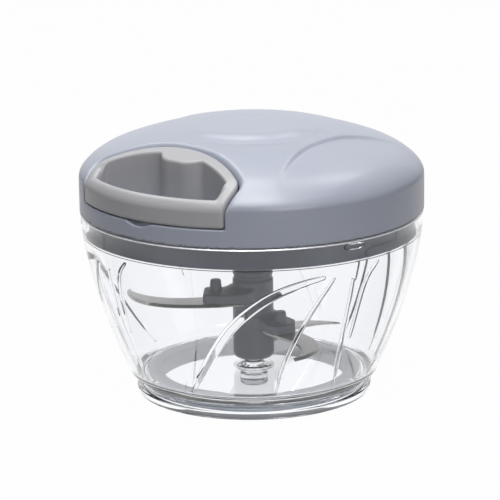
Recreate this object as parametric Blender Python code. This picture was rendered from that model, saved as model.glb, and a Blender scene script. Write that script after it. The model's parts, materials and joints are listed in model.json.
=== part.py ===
# Pull-cord vegetable chopper: a clear bowl, a domed lid that holds a cord spool with its
# recoil spring, a pull handle nested in the lid, and a blade shaft on the bowl's centre spike.
# Lengths are metres, angles are degrees. +Z is up and the chopper stands on Z = 0.

import math

import bmesh
import bpy
from mathutils import Matrix, Vector

# Clearances
FIT_GAP = 0.0003
RUNNING_GAP = 0.00035
OVERRUN = 0.004
MERGE_DISTANCE = 0.000001

# Facets on turned pieces
LARGE_STEPS = 48
MEDIUM_STEPS = 24
SMALL_STEPS = 12

# Bowl
FOOT_RADIUS = 0.0426
FOOT_WALL = 0.0016
FOOT_LIFT = 0.0004
FOOT_BAND = 0.0031
NECK_INSET = 0.0004
HAUNCH_OVERHANG = 0.0028
HAUNCH_RISE = 0.0045
HAUNCH_SHARES = (0.56, 0.44)
BOWL_HEIGHT = 0.0679
BOWL_FLARE = 1.6
BOWL_WALL = 0.0021
BOWL_FLOOR = 0.0020
FLOOR_FILLET = 0.0018
RIM_WALL = 0.00235
RIM_DROP = 0.00015
WALL_LEVELS = 8
SPIKE_RADIUS = 0.0026
SPIKE_HEIGHT = 0.0200
SPIKE_SHOULDER_RADIUS = 0.0042
SPIKE_SHOULDER_HEIGHT = 0.0025
STUB_RADIUS = 0.0057
STUB_RING_RADIUS = 0.0080
STUB_RING_HEIGHT = 0.0012
STUB_LIFT = 0.0020

# Ribs on the bowl's inner wall, as degrees round the bowl and shares of the wall's height
RIB_DEPTH = 0.0009
RIB_WIDTH = 0.0023
RIB_ROOT = 0.0006
RIB_CREST_SHARE = 0.45
RIB_END_SHARE = 0.35
RIB_SET_TURNS = (0, 91.5, 175, -94.5)
SWEEP_RIB_SHARES = [
    (-118, 0.045), (-112, 0.17), (-105, 0.34), (-98, 0.50),
    (-91, 0.61), (-83, 0.71), (-74, 0.765), (-66, 0.79),
]
PETAL_RIB_SHARES = [(-80, 0.045), (-78, 0.26), (-73, 0.46), (-68, 0.62), (-62, 0.78)]
UPRIGHT_RIB_SHARES = [(-52, 0.045), (-54, 0.25), (-54.5, 0.50), (-54, 0.75)]
HOOK_RIB_SHARES = [(-50, 0.43), (-49.6, 0.60), (-48, 0.75), (-43, 0.84)]

# Bayonet: bumps on the bowl's rim and lips on the lid's skirt
BAYONET_COUNT = 3
BUMP_TURN = -54.5
BUMP_HALF_LENGTH = 0.0047
BUMP_HALF_HEIGHT = 0.0014
BUMP_DEPTH = 0.0012
BUMP_BELOW_RIM = 0.0024
LIP_TURN = 17.0
LIP_START = 1.5
LIP_STOP = 1.8
LIP_STOP_SLOPE = 0.3
LIP_RISE = 0.0003
LIP_RAMP = 0.0009
LIP_STEPS = 4

# Non-slip ring
RING_HEIGHT = 0.0067
RING_WIDTH = 0.0070
RING_CHAMFER = 0.0012
RING_BEAD_HEIGHT = 0.0026
RING_BEAD_DEPTH = 0.0016

# Lid cover
LID_RADIUS = 0.0625
LID_BAND = 0.0133
DOME_RISE = 0.0185
LID_WALL = 0.0022
DOME_SHARES = [
    (1.0, 0.0), (0.998, 0.06), (0.986, 0.145), (0.960, 0.245), (0.912, 0.375),
    (0.832, 0.505), (0.736, 0.63), (0.610, 0.77), (0.500, 0.862), (0.430, 0.900),
    (0.405, 0.914), (0.382, 0.946), (0.362, 0.972), (0.335, 0.986), (0.200, 0.995), (0.0, 1.0),
]
CAVITY_SHARES = [
    (1.0, 0.0), (0.986, 0.145), (0.912, 0.375), (0.736, 0.63), (0.500, 0.865),
    (0.350, 0.960), (0.0, 0.99),
]

# Side pocket of the lid, where the handle nests
HANDLE_TURN = -129.5
POCKET_HALF_WIDTH = 0.0330
POCKET_BACK = 0.0343
POCKET_BACK_RADIUS = 0.0600
POCKET_CORNER = 0.0050
POCKET_WALL = 0.0022
POCKET_SILL = 0.0065
NOTCH_RADIUS = 0.0050
NOTCH_LIFT = 0.0026
NOTCH_DEPTH = 0.0060

# Shallow crescents on the other three quarters of the dome
SCOOP_HALF_WIDTH = 0.0370
SCOOP_BACK_RADIUS = 0.0760
SCOOP_CORNER = 0.0060
SCOOP_DEPTH = 0.0015
SCOOP_FADE = 0.0180

# Pull handle
HANDLE_GAP = 0.0005
HANDLE_DROP = 0.0003
HANDLE_FRONT_WALL = 0.0046
HANDLE_SIDE_WALL = 0.0048
HANDLE_BACK_WALL = 0.0044
BOSS_RADIUS = 0.0125
BOSS_SETBACK = -0.0034
OPENING_CORNER = 0.0012
KNOT_BORE_RADIUS = 0.0030
KNOT_BORE_OFFSET = 0.0044
KNOT_RADIUS = 0.0023

# Lid base
SKIRT_INSET = 0.0040
SKIRT_WALL = 0.0023
SKIRT_DROP = 0.0083
FLANGE_RISE = 0.0016
PLATE_THICKNESS = 0.0020
SEAL_GROOVE_DEPTH = 0.0010
SEAL_HEIGHT = 0.0013
SEAL_PROUD = 0.0011

# Lid screws
SCREW_INSET = 0.0125
SCREW_TURNS = (-132, -58, 58, 132)
SCREW_RADIUS = 0.0013
SCREW_LENGTH = 0.0085
SCREW_POINT = 0.0012
SCREW_HEAD_RADIUS = 0.0029
SCREW_HEAD_HEIGHT = 0.0019
POST_RADIUS = 0.0036

# Cord
CORD_RADIUS = 0.0010
CORD_GAP = 0.00045
CORD_TURNS = 3.5
CORD_LOOP_POINTS = 24
CORD_CORNER_POINTS = 8
CORD_CORNER_RUN = 0.0035
EYELET_WALL = 0.0011
EYELET_LIP = 0.0010
EYELET_PROUD = 0.0011

# Spool
DRUM_RADIUS = 0.0170
SPOOL_FLANGE_RADIUS = 0.0215
SPOOL_FLANGE = 0.0012
ARBOR_RADIUS = 0.0060
CLIP_POCKET_DEPTH = 0.0029

# Steel axle of the spool
AXLE_RADIUS = 0.00175
AXLE_GRIP = 0.0027
AXLE_TAIL = 0.0009
CLIP_WALL = 0.0026
CLIP_THICKNESS = 0.0008
AXLE_BOSS_RADIUS = 0.0042

# Recoil spring and its housing
SPRING_HEIGHT = 0.0043
SPRING_BAND = 0.0006
SPRING_TURNS = 4.5
SPRING_POINTS_PER_TURN = 16
HOUSING_RADIUS = 0.0241
HOUSING_WALL = 0.0016
HOUSING_TOP = 0.0014
SPRING_COVER_THICKNESS = 0.0008
WELL_WALL = 0.0020

# Drive coupler and its bush
COUPLER_RADIUS = 0.0085
COUPLER_DROP = 0.0014
COUPLER_FLANGE_RADIUS = 0.0115
COUPLER_FLANGE = 0.0007
SPIGOT_FLATS = 0.0120
SPIGOT_HEIGHT = 0.0044
STUB_FLATS = 0.0080
STUB_LENGTH = 0.0164
BUSH_WALL = 0.0020
BUSH_FLANGE = 0.0005
BUSH_FLANGE_WIDTH = 0.0018

# Blade shaft
SHAFT_RADIUS = 0.00746
SHAFT_NECK_RADIUS = 0.0071
SHAFT_NECK_LIFT = 0.0325
SHAFT_EDGE = 0.0008
SHAFT_BORE_TIP = 0.0010
ARM_REACH = 0.0180
ARM_LEADING = 0.0095
ARM_TRAILING = 0.0025
ARM_CORNER = 0.0020
ARM_HEIGHT = 0.0034

# Blades: height of each blade above the bowl's floor, and where it points
BLADES = {
    "upper": {"lift": 0.0242, "turn": 178},
    "middle": {"lift": 0.0140, "turn": -57},
    "lower": {"lift": 0.0056, "turn": 58},
}
BLADE_THICKNESS = 0.0010
BLADE_CLEARANCE = 0.0038
BLADE_EDGE_THICKNESS = 0.0002
BLADE_ROOT_ANGLES = (66, -10)
LEADING_EDGE_SHARES = [
    (0.24, 0.200), (0.32, 0.208), (0.42, 0.214), (0.54, 0.212), (0.66, 0.195), (0.76, 0.150), (0.84, 0.092),
    (0.90, 0.020), (0.940, -0.060), (0.972, -0.150), (0.985, -0.262),
]
TRAILING_EDGE_SHARES = [
    (0.945, -0.205), (0.897, -0.144), (0.83, -0.085), (0.76, -0.045), (0.65, -0.008), (0.52, 0.0),
    (0.38, -0.025),
]
BEVEL_SHARES = (0.975, 0.87)
PIN_REACH = 0.0135
PIN_OFFSET = 0.0030
PIN_RADIUS = 0.0015
PIN_HEAD_RADIUS = 0.0023
PIN_HEAD_TIP_RADIUS = 0.0019
PIN_HEAD_HEIGHT = 0.0038
PIN_FOOT_RADIUS = 0.0026
PIN_FOOT_HEIGHT = 0.0007

# Heights that follow from the sizes above
FLOOR_UNDERSIDE = RING_HEIGHT + FIT_GAP
FLOOR_TOP = FLOOR_UNDERSIDE + BOWL_FLOOR
NECK_HEIGHT = FOOT_LIFT + FOOT_BAND + NECK_INSET
WALL_START = NECK_HEIGHT + HAUNCH_RISE - NECK_INSET
WALL_START_RADIUS = FOOT_RADIUS + HAUNCH_OVERHANG
RIM_RADIUS = LID_RADIUS - RIM_DROP
RIM_INNER_RADIUS = RIM_RADIUS - RIM_WALL
LID_EDGE = BOWL_HEIGHT + FIT_GAP
SHOULDER = LID_EDGE + LID_BAND
LID_TOP = SHOULDER + DOME_RISE
LID_INNER_RADIUS = LID_RADIUS - LID_WALL
POCKET_FLOOR = LID_EDGE + POCKET_SILL
PLATE_TOP = LID_EDGE + FLANGE_RISE
PLATE_BOTTOM = PLATE_TOP - PLATE_THICKNESS
SKIRT_BOTTOM = LID_EDGE - SKIRT_DROP
BUMP_HEIGHT = BOWL_HEIGHT - BUMP_BELOW_RIM
SEAL_BOTTOM = BUMP_HEIGHT + BUMP_HALF_HEIGHT + FIT_GAP / 3
SKIRT_RADIUS = LID_RADIUS - SKIRT_INSET
SCREW_CIRCLE_RADIUS = SKIRT_RADIUS - SCREW_INSET
SEAL_GROOVE_RADIUS = SKIRT_RADIUS - SEAL_GROOVE_DEPTH
FLANGE_RADIUS = LID_INNER_RADIUS - FIT_GAP
BUSH_RADIUS = COUPLER_RADIUS + FIT_GAP + BUSH_WALL
BUSH_TOP = PLATE_TOP + FIT_GAP + BUSH_FLANGE
COUPLER_BOTTOM = PLATE_BOTTOM - COUPLER_DROP
COUPLER_TOP = BUSH_TOP + FIT_GAP + COUPLER_FLANGE
WINDING_RADIUS = DRUM_RADIUS + CORD_RADIUS + FIT_GAP
CORD_PITCH = 2 * CORD_RADIUS + CORD_GAP
DRUM_HEIGHT = CORD_TURNS * CORD_PITCH + 2 * (CORD_RADIUS + FIT_GAP)
SPOOL_BOTTOM = COUPLER_TOP + FIT_GAP
DRUM_BOTTOM = SPOOL_BOTTOM + SPOOL_FLANGE
DRUM_TOP = DRUM_BOTTOM + DRUM_HEIGHT
SPOOL_TOP = DRUM_TOP + SPOOL_FLANGE
CORD_HEIGHT = DRUM_TOP - FIT_GAP - CORD_RADIUS
SPRING_COVER_BOTTOM = SPOOL_TOP + FIT_GAP
SPRING_BOTTOM = SPRING_COVER_BOTTOM + SPRING_COVER_THICKNESS + FIT_GAP
SPRING_TOP = SPRING_BOTTOM + SPRING_HEIGHT
HOUSING_UNDERSIDE = SPRING_TOP + FIT_GAP
HOUSING_HEIGHT = HOUSING_UNDERSIDE + HOUSING_TOP
CLIP_POCKET_BOTTOM = COUPLER_TOP + SPIGOT_HEIGHT + FIT_GAP
CLIP_POCKET_TOP = CLIP_POCKET_BOTTOM + CLIP_POCKET_DEPTH
CLIP_TOP = CLIP_POCKET_TOP - FIT_GAP
AXLE_BOTTOM = CLIP_TOP - CLIP_THICKNESS - AXLE_TAIL
AXLE_TOP = HOUSING_HEIGHT + FIT_GAP + AXLE_GRIP
SHAFT_BOTTOM = FLOOR_TOP + SPIKE_SHOULDER_HEIGHT + FIT_GAP
SHAFT_TOP = COUPLER_BOTTOM - FIT_GAP
STUB_BOTTOM = COUPLER_BOTTOM - STUB_LENGTH
SHAFT_NECK = FLOOR_TOP + SHAFT_NECK_LIFT
EYELET_BORE = CORD_RADIUS + RUNNING_GAP
EYELET_RADIUS = EYELET_BORE + EYELET_WALL


def tint(red, green, blue):
    # Screen colours from 0 to 255, as the linear values that a shader takes.
    shades = [value / 255 for value in (red, green, blue)]
    return [s / 12.92 if s < 0.04045 else ((s + 0.055) / 1.055) ** 2.4 for s in shades]


FINISHES = {
    "clear_plastic": (tint(240, 243, 247), 0.05, 0.0, 0.25),
    "lid_plastic": (tint(170, 177, 194), 0.45, 0.0, 1.0),
    "slate_plastic": (tint(92, 98, 112), 0.45, 0.0, 1.0),
    "handle_plastic": (tint(158, 158, 158), 0.40, 0.0, 1.0),
    "ring_rubber": (tint(160, 161, 163), 0.60, 0.0, 1.0),
    "seal_silicone": (tint(215, 218, 222), 0.50, 0.0, 1.0),
    "blade_steel": (tint(168, 166, 164), 0.28, 1.0, 1.0),
    "bright_steel": (tint(190, 190, 192), 0.30, 1.0, 1.0),
    "spring_steel": (tint(120, 124, 132), 0.35, 1.0, 1.0),
    "white_acetal": (tint(232, 232, 228), 0.40, 0.0, 1.0),
    "cord_fibre": (tint(225, 225, 222), 0.80, 0.0, 1.0),
}


def make_finishes():
    materials = {}
    for name, (colour, roughness, metallic, alpha) in FINISHES.items():
        material = bpy.data.materials.new(name)
        material.use_nodes = True
        shader = material.node_tree.nodes["Principled BSDF"]
        shader.inputs["Base Color"].default_value = (*colour, 1.0)
        shader.inputs["Roughness"].default_value = roughness
        shader.inputs["Metallic"].default_value = metallic
        shader.inputs["Alpha"].default_value = alpha
        materials[name] = material
    return materials


def clear_scene():
    for thing in list(bpy.data.objects):
        bpy.data.objects.remove(thing)


def add_object(name, data):
    thing = bpy.data.objects.new(name, data)
    bpy.context.collection.objects.link(thing)
    return thing


def finish_mesh(name, bm, smooth=True):
    bmesh.ops.remove_doubles(bm, verts=bm.verts, dist=MERGE_DISTANCE)
    bmesh.ops.recalc_face_normals(bm, faces=bm.faces)
    mesh = bpy.data.meshes.new(name)
    bm.to_mesh(mesh)
    bm.free()
    if smooth:
        mesh.shade_smooth()
        mesh.set_sharp_from_angle(angle=math.radians(35))
    return add_object(name, mesh)


def dress(thing, finish, parent=None, turn=0.0):
    # Gives a piece its material and hangs it on its parent, turned about the vertical axis.
    thing.data.materials.append(FINISH_MATERIALS[finish])
    thing.parent = parent
    thing.rotation_euler.z = math.radians(turn)
    return thing


def as_cutter(thing):
    thing.hide_render = True
    thing.display_type = "WIRE"
    return thing


def combine(thing, other, operation):
    modifier = thing.modifiers.new(f"{operation.lower()}_{other.name}", "BOOLEAN")
    modifier.operation = operation
    modifier.object = as_cutter(other)
    modifier.solver = "EXACT"


def cut(thing, *cutters):
    for cutter in cutters:
        combine(thing, cutter, "DIFFERENCE")


def add_spin(bm, outline, steps, centre=(0.0, 0.0)):
    # Turns an outline of (radius, height) points about a vertical axis. An outline whose two
    # ends lie on the axis stays open there, any other one is closed into a ring.
    x, y = centre
    corners = [bm.verts.new((x + radius, y, height)) for radius, height in outline]
    runs = list(zip(corners, corners[1:]))
    if outline[0][0] > 0:
        runs.append((corners[-1], corners[0]))
    edges = [bm.edges.new(run) for run in runs]
    bmesh.ops.spin(
        bm, geom=corners + edges, cent=(x, y, 0), axis=(0, 0, 1),
        angle=math.tau, steps=steps, use_merge=True,
    )


def spin(name, outline, steps):
    bm = bmesh.new()
    add_spin(bm, outline, steps)
    return finish_mesh(name, bm)


def add_prism(bm, outline, low, high):
    face = bm.faces.new([bm.verts.new((x, y, low)) for x, y in outline])
    walls = bmesh.ops.extrude_face_region(bm, geom=[face])
    top = [item for item in walls["geom"] if isinstance(item, bmesh.types.BMVert)]
    bmesh.ops.translate(bm, verts=top, vec=(0, 0, high - low))


def add_loft(bm, rows):
    # Joins closed sections of four corners each into one solid with flat ends.
    sections = [[bm.verts.new(corner) for corner in row] for row in rows]
    for first, second in zip(sections, sections[1:]):
        for side in range(4):
            other = (side + 1) % 4
            bm.faces.new((first[side], first[other], second[other], second[side]))
    bm.faces.new(sections[0][::-1])
    bm.faces.new(sections[-1])


def prism(name, outline, low, high):
    bm = bmesh.new()
    add_prism(bm, outline, low, high)
    return finish_mesh(name, bm, smooth=False)


def circle(radius, steps, centre=(0.0, 0.0)):
    angles = [math.tau * step / steps for step in range(steps)]
    return [(centre[0] + radius * math.cos(a), centre[1] + radius * math.sin(a)) for a in angles]


def hexagon(flats):
    return circle(flats / math.sqrt(3), 6)


def arc(centre, radius, start, end, steps):
    angles = [start + (end - start) * step / steps for step in range(steps + 1)]
    return [(centre[0] + radius * math.cos(a), centre[1] + radius * math.sin(a)) for a in angles]


def lying_cylinder(name, radius, start, end, height, steps):
    # A cylinder along local +X, at a height above the ground.
    thing = prism(name, circle(radius, steps), start, end)
    thing.data.transform(Matrix.Translation((0, 0, height)) @ Matrix.Rotation(math.pi / 2, 4, "Y"))
    return thing


def cord(name, points, resolution):
    curve = bpy.data.curves.new(name, "CURVE")
    curve.dimensions = "3D"
    curve.bevel_depth = CORD_RADIUS
    curve.bevel_resolution = resolution
    curve.use_fill_caps = True
    spline = curve.splines.new("POLY")
    spline.points.add(len(points) - 1)
    for target, point in zip(spline.points, points):
        target.co = (*point, 1.0)
    return add_object(name, curve)


# Bowl

def wall_radius(height):
    # Outer radius of the bowl's wall, from the haunch to the rim.
    share = (height - WALL_START) / (BOWL_HEIGHT - WALL_START)
    swell = 1 - (1 - min(max(share, 0.0), 1.0)) ** BOWL_FLARE
    return WALL_START_RADIUS + swell * (RIM_RADIUS - WALL_START_RADIUS)


def inner_radius(height):
    return wall_radius(height) - BOWL_WALL


def wall_height(share):
    return WALL_START + share * (BOWL_HEIGHT - WALL_START)


def bowl_outline():
    neck_radius = FOOT_RADIUS - NECK_INSET
    foot_inner = FOOT_RADIUS - FOOT_WALL
    haunch = (
        neck_radius + HAUNCH_SHARES[0] * (WALL_START_RADIUS - neck_radius),
        NECK_HEIGHT + HAUNCH_SHARES[1] * (WALL_START - NECK_HEIGHT),
    )
    seat = SKIRT_BOTTOM - FIT_GAP
    inside = [
        (0.0, FLOOR_TOP + SPIKE_HEIGHT),
        (SPIKE_RADIUS / 2, FLOOR_TOP + SPIKE_HEIGHT - SPIKE_RADIUS / 4),
        (SPIKE_RADIUS, FLOOR_TOP + SPIKE_HEIGHT - SPIKE_RADIUS),
        (SPIKE_RADIUS, FLOOR_TOP + SPIKE_SHOULDER_HEIGHT),
        (SPIKE_SHOULDER_RADIUS, FLOOR_TOP + SPIKE_SHOULDER_HEIGHT),
        (SPIKE_SHOULDER_RADIUS, FLOOR_TOP),
    ]
    floor_edge = inner_radius(FLOOR_TOP + FLOOR_FILLET)
    inside.append((floor_edge - FLOOR_FILLET, FLOOR_TOP))
    inside.append((floor_edge - FLOOR_FILLET / 3, FLOOR_TOP + FLOOR_FILLET / 3))
    for level in range(WALL_LEVELS):
        height = FLOOR_TOP + FLOOR_FILLET + (seat - FLOOR_TOP - FLOOR_FILLET) * level / (WALL_LEVELS - 1)
        inside.append((inner_radius(height), height))
    inside += [(RIM_INNER_RADIUS, seat), (RIM_INNER_RADIUS, BOWL_HEIGHT)]
    outside = [(wall_radius(wall_height(n / WALL_LEVELS)), wall_height(n / WALL_LEVELS))
               for n in range(WALL_LEVELS, -1, -1)]
    under = [
        haunch,
        (neck_radius, NECK_HEIGHT),
        (FOOT_RADIUS, FOOT_LIFT + FOOT_BAND),
        (FOOT_RADIUS, FOOT_LIFT),
        (foot_inner, FOOT_LIFT),
        (foot_inner, FLOOR_UNDERSIDE),
        (STUB_RADIUS, FLOOR_UNDERSIDE),
        (STUB_RADIUS, STUB_LIFT + STUB_RING_HEIGHT),
        (STUB_RING_RADIUS, STUB_LIFT + STUB_RING_HEIGHT),
        (STUB_RING_RADIUS, STUB_LIFT),
        (0.0, STUB_LIFT),
    ]
    return inside + outside + under


def on_wall(turn, height, radius):
    angle = math.radians(turn)
    return Vector((radius * math.cos(angle), radius * math.sin(angle), height))


def add_rib(bm, shares, set_turn):
    # Lofts a trapezoid along a path on the bowl's inner wall, with narrow ends.
    path = [(turn + set_turn, wall_height(share)) for turn, share in shares]
    spots = [on_wall(turn, height, inner_radius(height)) for turn, height in path]
    rows = []
    for index, (turn, height) in enumerate(path):
        along = spots[min(index + 1, len(spots) - 1)] - spots[max(index - 1, 0)]
        inward = -on_wall(turn, 0.0, 1.0)
        across = along.cross(inward).normalized()
        at_end = index in (0, len(path) - 1)
        half = RIB_WIDTH / 2 * (RIB_END_SHARE if at_end else 1.0)
        crest = half * RIB_CREST_SHARE
        root = spots[index] - inward * RIB_ROOT
        top = spots[index] + inward * RIB_DEPTH
        corners = (root - across * half, top - across * crest, top + across * crest, root + across * half)
        rows.append(corners)
    add_loft(bm, rows)


def bowl_ribs():
    bm = bmesh.new()
    for set_turn in RIB_SET_TURNS:
        for shares in (SWEEP_RIB_SHARES, PETAL_RIB_SHARES, UPRIGHT_RIB_SHARES, HOOK_RIB_SHARES):
            add_rib(bm, shares, set_turn)
    return finish_mesh("bowl_ribs", bm, smooth=False)


def rim_bumps():
    # Oval bumps inside the rim that hold the lips of the lid.
    bm = bmesh.new()
    for number in range(BAYONET_COUNT):
        turn = BUMP_TURN + 360 * number / BAYONET_COUNT
        frame = Matrix.Translation(on_wall(turn, BUMP_HEIGHT, RIM_INNER_RADIUS))
        frame = frame @ Matrix.Rotation(math.radians(turn), 4, "Z")
        size = Matrix.Diagonal((BUMP_DEPTH, BUMP_HALF_LENGTH, BUMP_HALF_HEIGHT, 1.0))
        bmesh.ops.create_uvsphere(bm, u_segments=SMALL_STEPS, v_segments=6, radius=1.0, matrix=frame @ size)
    return finish_mesh("rim_bumps", bm)


def make_bowl():
    bowl = dress(spin("bowl", bowl_outline(), LARGE_STEPS), "clear_plastic")
    combine(bowl, bowl_ribs(), "UNION")
    combine(bowl, rim_bumps(), "UNION")
    return bowl


def make_non_slip_ring():
    outer = FOOT_RADIUS - FOOT_WALL - FIT_GAP
    inner = outer - RING_WIDTH
    bead = RING_BEAD_HEIGHT
    outline = [
        (inner + RING_CHAMFER, 0.0),
        (outer, 0.0),
        (outer, bead),
        (outer - RING_BEAD_DEPTH, bead + RING_BEAD_DEPTH),
        (outer - RING_BEAD_DEPTH, RING_HEIGHT),
        (inner, RING_HEIGHT),
        (inner, RING_CHAMFER),
    ]
    return dress(spin("non_slip_ring", outline, LARGE_STEPS), "ring_rubber")


# Lid cover

def dome_outline(drop=0.0):
    # The lid's outside as a solid, from its edge to the middle of the dome.
    outline = [(0.0, LID_EDGE - drop), (LID_RADIUS, LID_EDGE - drop)]
    outline += [(r * LID_RADIUS, SHOULDER + rise * DOME_RISE - drop) for r, rise in DOME_SHARES]
    return outline


def cavity_outline():
    outline = [(0.0, LID_EDGE - OVERRUN), (LID_INNER_RADIUS, LID_EDGE - OVERRUN)]
    for radius, rise in CAVITY_SHARES:
        outline.append((radius * LID_INNER_RADIUS, SHOULDER + rise * DOME_RISE - LID_WALL))
    return outline


def bay_outline(half_width, back, back_radius, corner, inset=0.0):
    # Plan of a bay that opens at the lid's side, along local +X: straight sides, and a back
    # bowed towards the lid's middle. A positive inset draws it in, a negative one widens it.
    half_width -= inset
    corner = max(corner - inset, FIT_GAP)
    radius = back_radius - inset
    middle = back + back_radius
    side_centre = half_width - corner
    reach = math.sqrt((radius - corner) ** 2 - side_centre ** 2)
    corner_centre = middle - reach
    lean = math.atan2(side_centre, reach)
    mouth = LID_RADIUS + OVERRUN
    upper = arc((corner_centre, side_centre), corner, math.pi / 2, math.pi - lean, 4)
    bow = arc((middle, 0.0), radius, math.pi - lean, math.pi + lean, 14)[1:-1]
    lower = [(x, -y) for x, y in reversed(upper)]
    return [(mouth, half_width)] + upper + bow + lower + [(mouth, -half_width)]


def pocket_outline(inset=0.0):
    return bay_outline(POCKET_HALF_WIDTH, POCKET_BACK, POCKET_BACK_RADIUS, POCKET_CORNER, inset)


def lid_cavity():
    # The hollow of the lid, less the solid parts that stand in it.
    cavity = spin("lid_cavity", cavity_outline(), LARGE_STEPS)
    pocket_shell = prism("pocket_shell", pocket_outline(-POCKET_WALL), PLATE_TOP + FIT_GAP, LID_TOP)
    pocket_shell.rotation_euler.z = math.radians(HANDLE_TURN)
    axle_boss = prism("axle_boss", circle(AXLE_BOSS_RADIUS, SMALL_STEPS), HOUSING_HEIGHT + FIT_GAP, LID_TOP)
    well_inner = HOUSING_RADIUS + FIT_GAP
    well_outline = [
        (well_inner, SPRING_COVER_BOTTOM), (well_inner + WELL_WALL, SPRING_COVER_BOTTOM),
        (well_inner + WELL_WALL, LID_TOP), (well_inner, LID_TOP),
    ]
    well = spin("spring_well", well_outline, MEDIUM_STEPS)
    posts = screw_cylinders("screw_posts", POST_RADIUS, PLATE_TOP + FIT_GAP, LID_TOP)
    cut(cavity, pocket_shell, axle_boss, well, posts)
    return cavity


def screw_places():
    places = []
    for turn in SCREW_TURNS:
        angle = math.radians(HANDLE_TURN + turn)
        places.append((SCREW_CIRCLE_RADIUS * math.cos(angle), SCREW_CIRCLE_RADIUS * math.sin(angle)))
    return places


def screw_cylinders(name, radius, low, high):
    bm = bmesh.new()
    for place in screw_places():
        add_prism(bm, circle(radius, SMALL_STEPS, place), low, high)
    return finish_mesh(name, bm, smooth=False)


def scoop(number):
    # A crescent cutter: a bay of the dome above a copy of the dome that dips to its back.
    turn = Matrix.Rotation(math.radians(HANDLE_TURN + 90 * number), 4, "Z")
    plan = bay_outline(SCOOP_HALF_WIDTH, POCKET_BACK, SCOOP_BACK_RADIUS, SCOOP_CORNER)
    bay = prism(f"scoop_bay_{number}", plan, SHOULDER, LID_TOP + OVERRUN)
    bay.matrix_world = turn
    dome = spin(f"scoop_floor_{number}", dome_outline(), LARGE_STEPS)
    hinge = Vector((POCKET_BACK + SCOOP_FADE, 0.0, SHOULDER + DOME_RISE / 2))
    dip = Matrix.Rotation(-math.atan2(SCOOP_DEPTH, SCOOP_FADE), 4, "Y")
    dome.matrix_world = turn @ Matrix.Translation(hinge) @ dip @ Matrix.Translation(-hinge)
    cut(bay, dome)
    return bay


def make_lid_cover(parent):
    lid = dress(spin("lid_cover", dome_outline(), LARGE_STEPS), "lid_plastic", parent)
    bay = prism("pocket_bay", pocket_outline(), POCKET_FLOOR, LID_TOP + OVERRUN)
    cord_hole = lying_cylinder(
        "cord_hole", EYELET_RADIUS + FIT_GAP, POCKET_BACK - POCKET_WALL - OVERRUN,
        POCKET_BACK + OVERRUN, CORD_HEIGHT, SMALL_STEPS,
    )
    notch = lying_cylinder(
        "finger_notch", NOTCH_RADIUS, LID_RADIUS - NOTCH_DEPTH, LID_RADIUS + OVERRUN,
        POCKET_FLOOR + NOTCH_LIFT, MEDIUM_STEPS,
    )
    for cutter in (bay, cord_hole, notch):
        cutter.rotation_euler.z = math.radians(HANDLE_TURN)
    axle_socket = prism(
        "axle_socket", circle(AXLE_RADIUS + FIT_GAP, SMALL_STEPS), HOUSING_HEIGHT, AXLE_TOP + FIT_GAP,
    )
    screw_bores = screw_cylinders(
        "screw_bores", SCREW_RADIUS + FIT_GAP, PLATE_TOP, PLATE_BOTTOM + SCREW_LENGTH + FIT_GAP,
    )
    cut(lid, lid_cavity(), bay, scoop(1), scoop(2), scoop(3), cord_hole, notch, axle_socket, screw_bores)
    return lid


# Lid base, seal and screws

def bayonet_lips():
    # Each lip starts clear of its bump, rises under it as the lid turns, and ends in a stop.
    bm = bmesh.new()
    inner = SKIRT_RADIUS - RIB_ROOT
    outer = RIM_INNER_RADIUS - FIT_GAP - RUNNING_GAP / 2
    low = SKIRT_BOTTOM + FIT_GAP
    top = BUMP_HEIGHT - BUMP_HALF_HEIGHT - FIT_GAP - LIP_RISE / 3
    stop_top = BUMP_HEIGHT + BUMP_HALF_HEIGHT / 2
    half_bump = math.degrees(BUMP_HALF_LENGTH / RIM_INNER_RADIUS)
    for number in range(BAYONET_COUNT):
        start = BUMP_TURN + 360 * number / BAYONET_COUNT + half_bump + LIP_START
        stop = start + LIP_TURN - LIP_START
        steps = [(start, top - LIP_RAMP)]
        for step in range(1, LIP_STEPS + 1):
            steps.append((start + (stop - start) * step / LIP_STEPS, top))
        steps += [(stop + LIP_STOP_SLOPE, stop_top), (stop + LIP_STOP, stop_top)]
        rows = []
        for turn, height in steps:
            rows.append([
                on_wall(turn, low, inner), on_wall(turn, low, outer),
                on_wall(turn, height, outer), on_wall(turn, height, inner),
            ])
        add_loft(bm, rows)
    return finish_mesh("bayonet_lips", bm, smooth=False)


def make_lid_base(parent):
    skirt_inner = SKIRT_RADIUS - SKIRT_WALL
    groove_bottom = SEAL_BOTTOM - FIT_GAP / 3
    groove_top = SEAL_BOTTOM + SEAL_HEIGHT + FIT_GAP
    hole = BUSH_RADIUS + FIT_GAP
    outline = [
        (hole, PLATE_BOTTOM), (skirt_inner, PLATE_BOTTOM), (skirt_inner, SKIRT_BOTTOM),
        (SKIRT_RADIUS, SKIRT_BOTTOM), (SKIRT_RADIUS, groove_bottom),
        (SEAL_GROOVE_RADIUS, groove_bottom), (SEAL_GROOVE_RADIUS, groove_top),
        (FLANGE_RADIUS, groove_top), (FLANGE_RADIUS, PLATE_TOP), (hole, PLATE_TOP),
    ]
    base = dress(spin("lid_base", outline, LARGE_STEPS), "slate_plastic", parent)
    lips = bayonet_lips()
    combine(base, lips, "UNION")
    holes = screw_cylinders(
        "base_screw_holes", SCREW_RADIUS + FIT_GAP, PLATE_BOTTOM - OVERRUN, PLATE_TOP + OVERRUN,
    )
    cut(base, holes)
    return base


def make_seal_ring(parent):
    inner = SEAL_GROOVE_RADIUS + FIT_GAP
    outer = SKIRT_RADIUS + SEAL_PROUD
    outline = [
        (inner, SEAL_BOTTOM), (outer, SEAL_BOTTOM),
        (outer, SEAL_BOTTOM + SEAL_HEIGHT / 2), (inner, SEAL_BOTTOM + SEAL_HEIGHT),
    ]
    return dress(spin("seal_ring", outline, LARGE_STEPS), "seal_silicone", parent)


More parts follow.
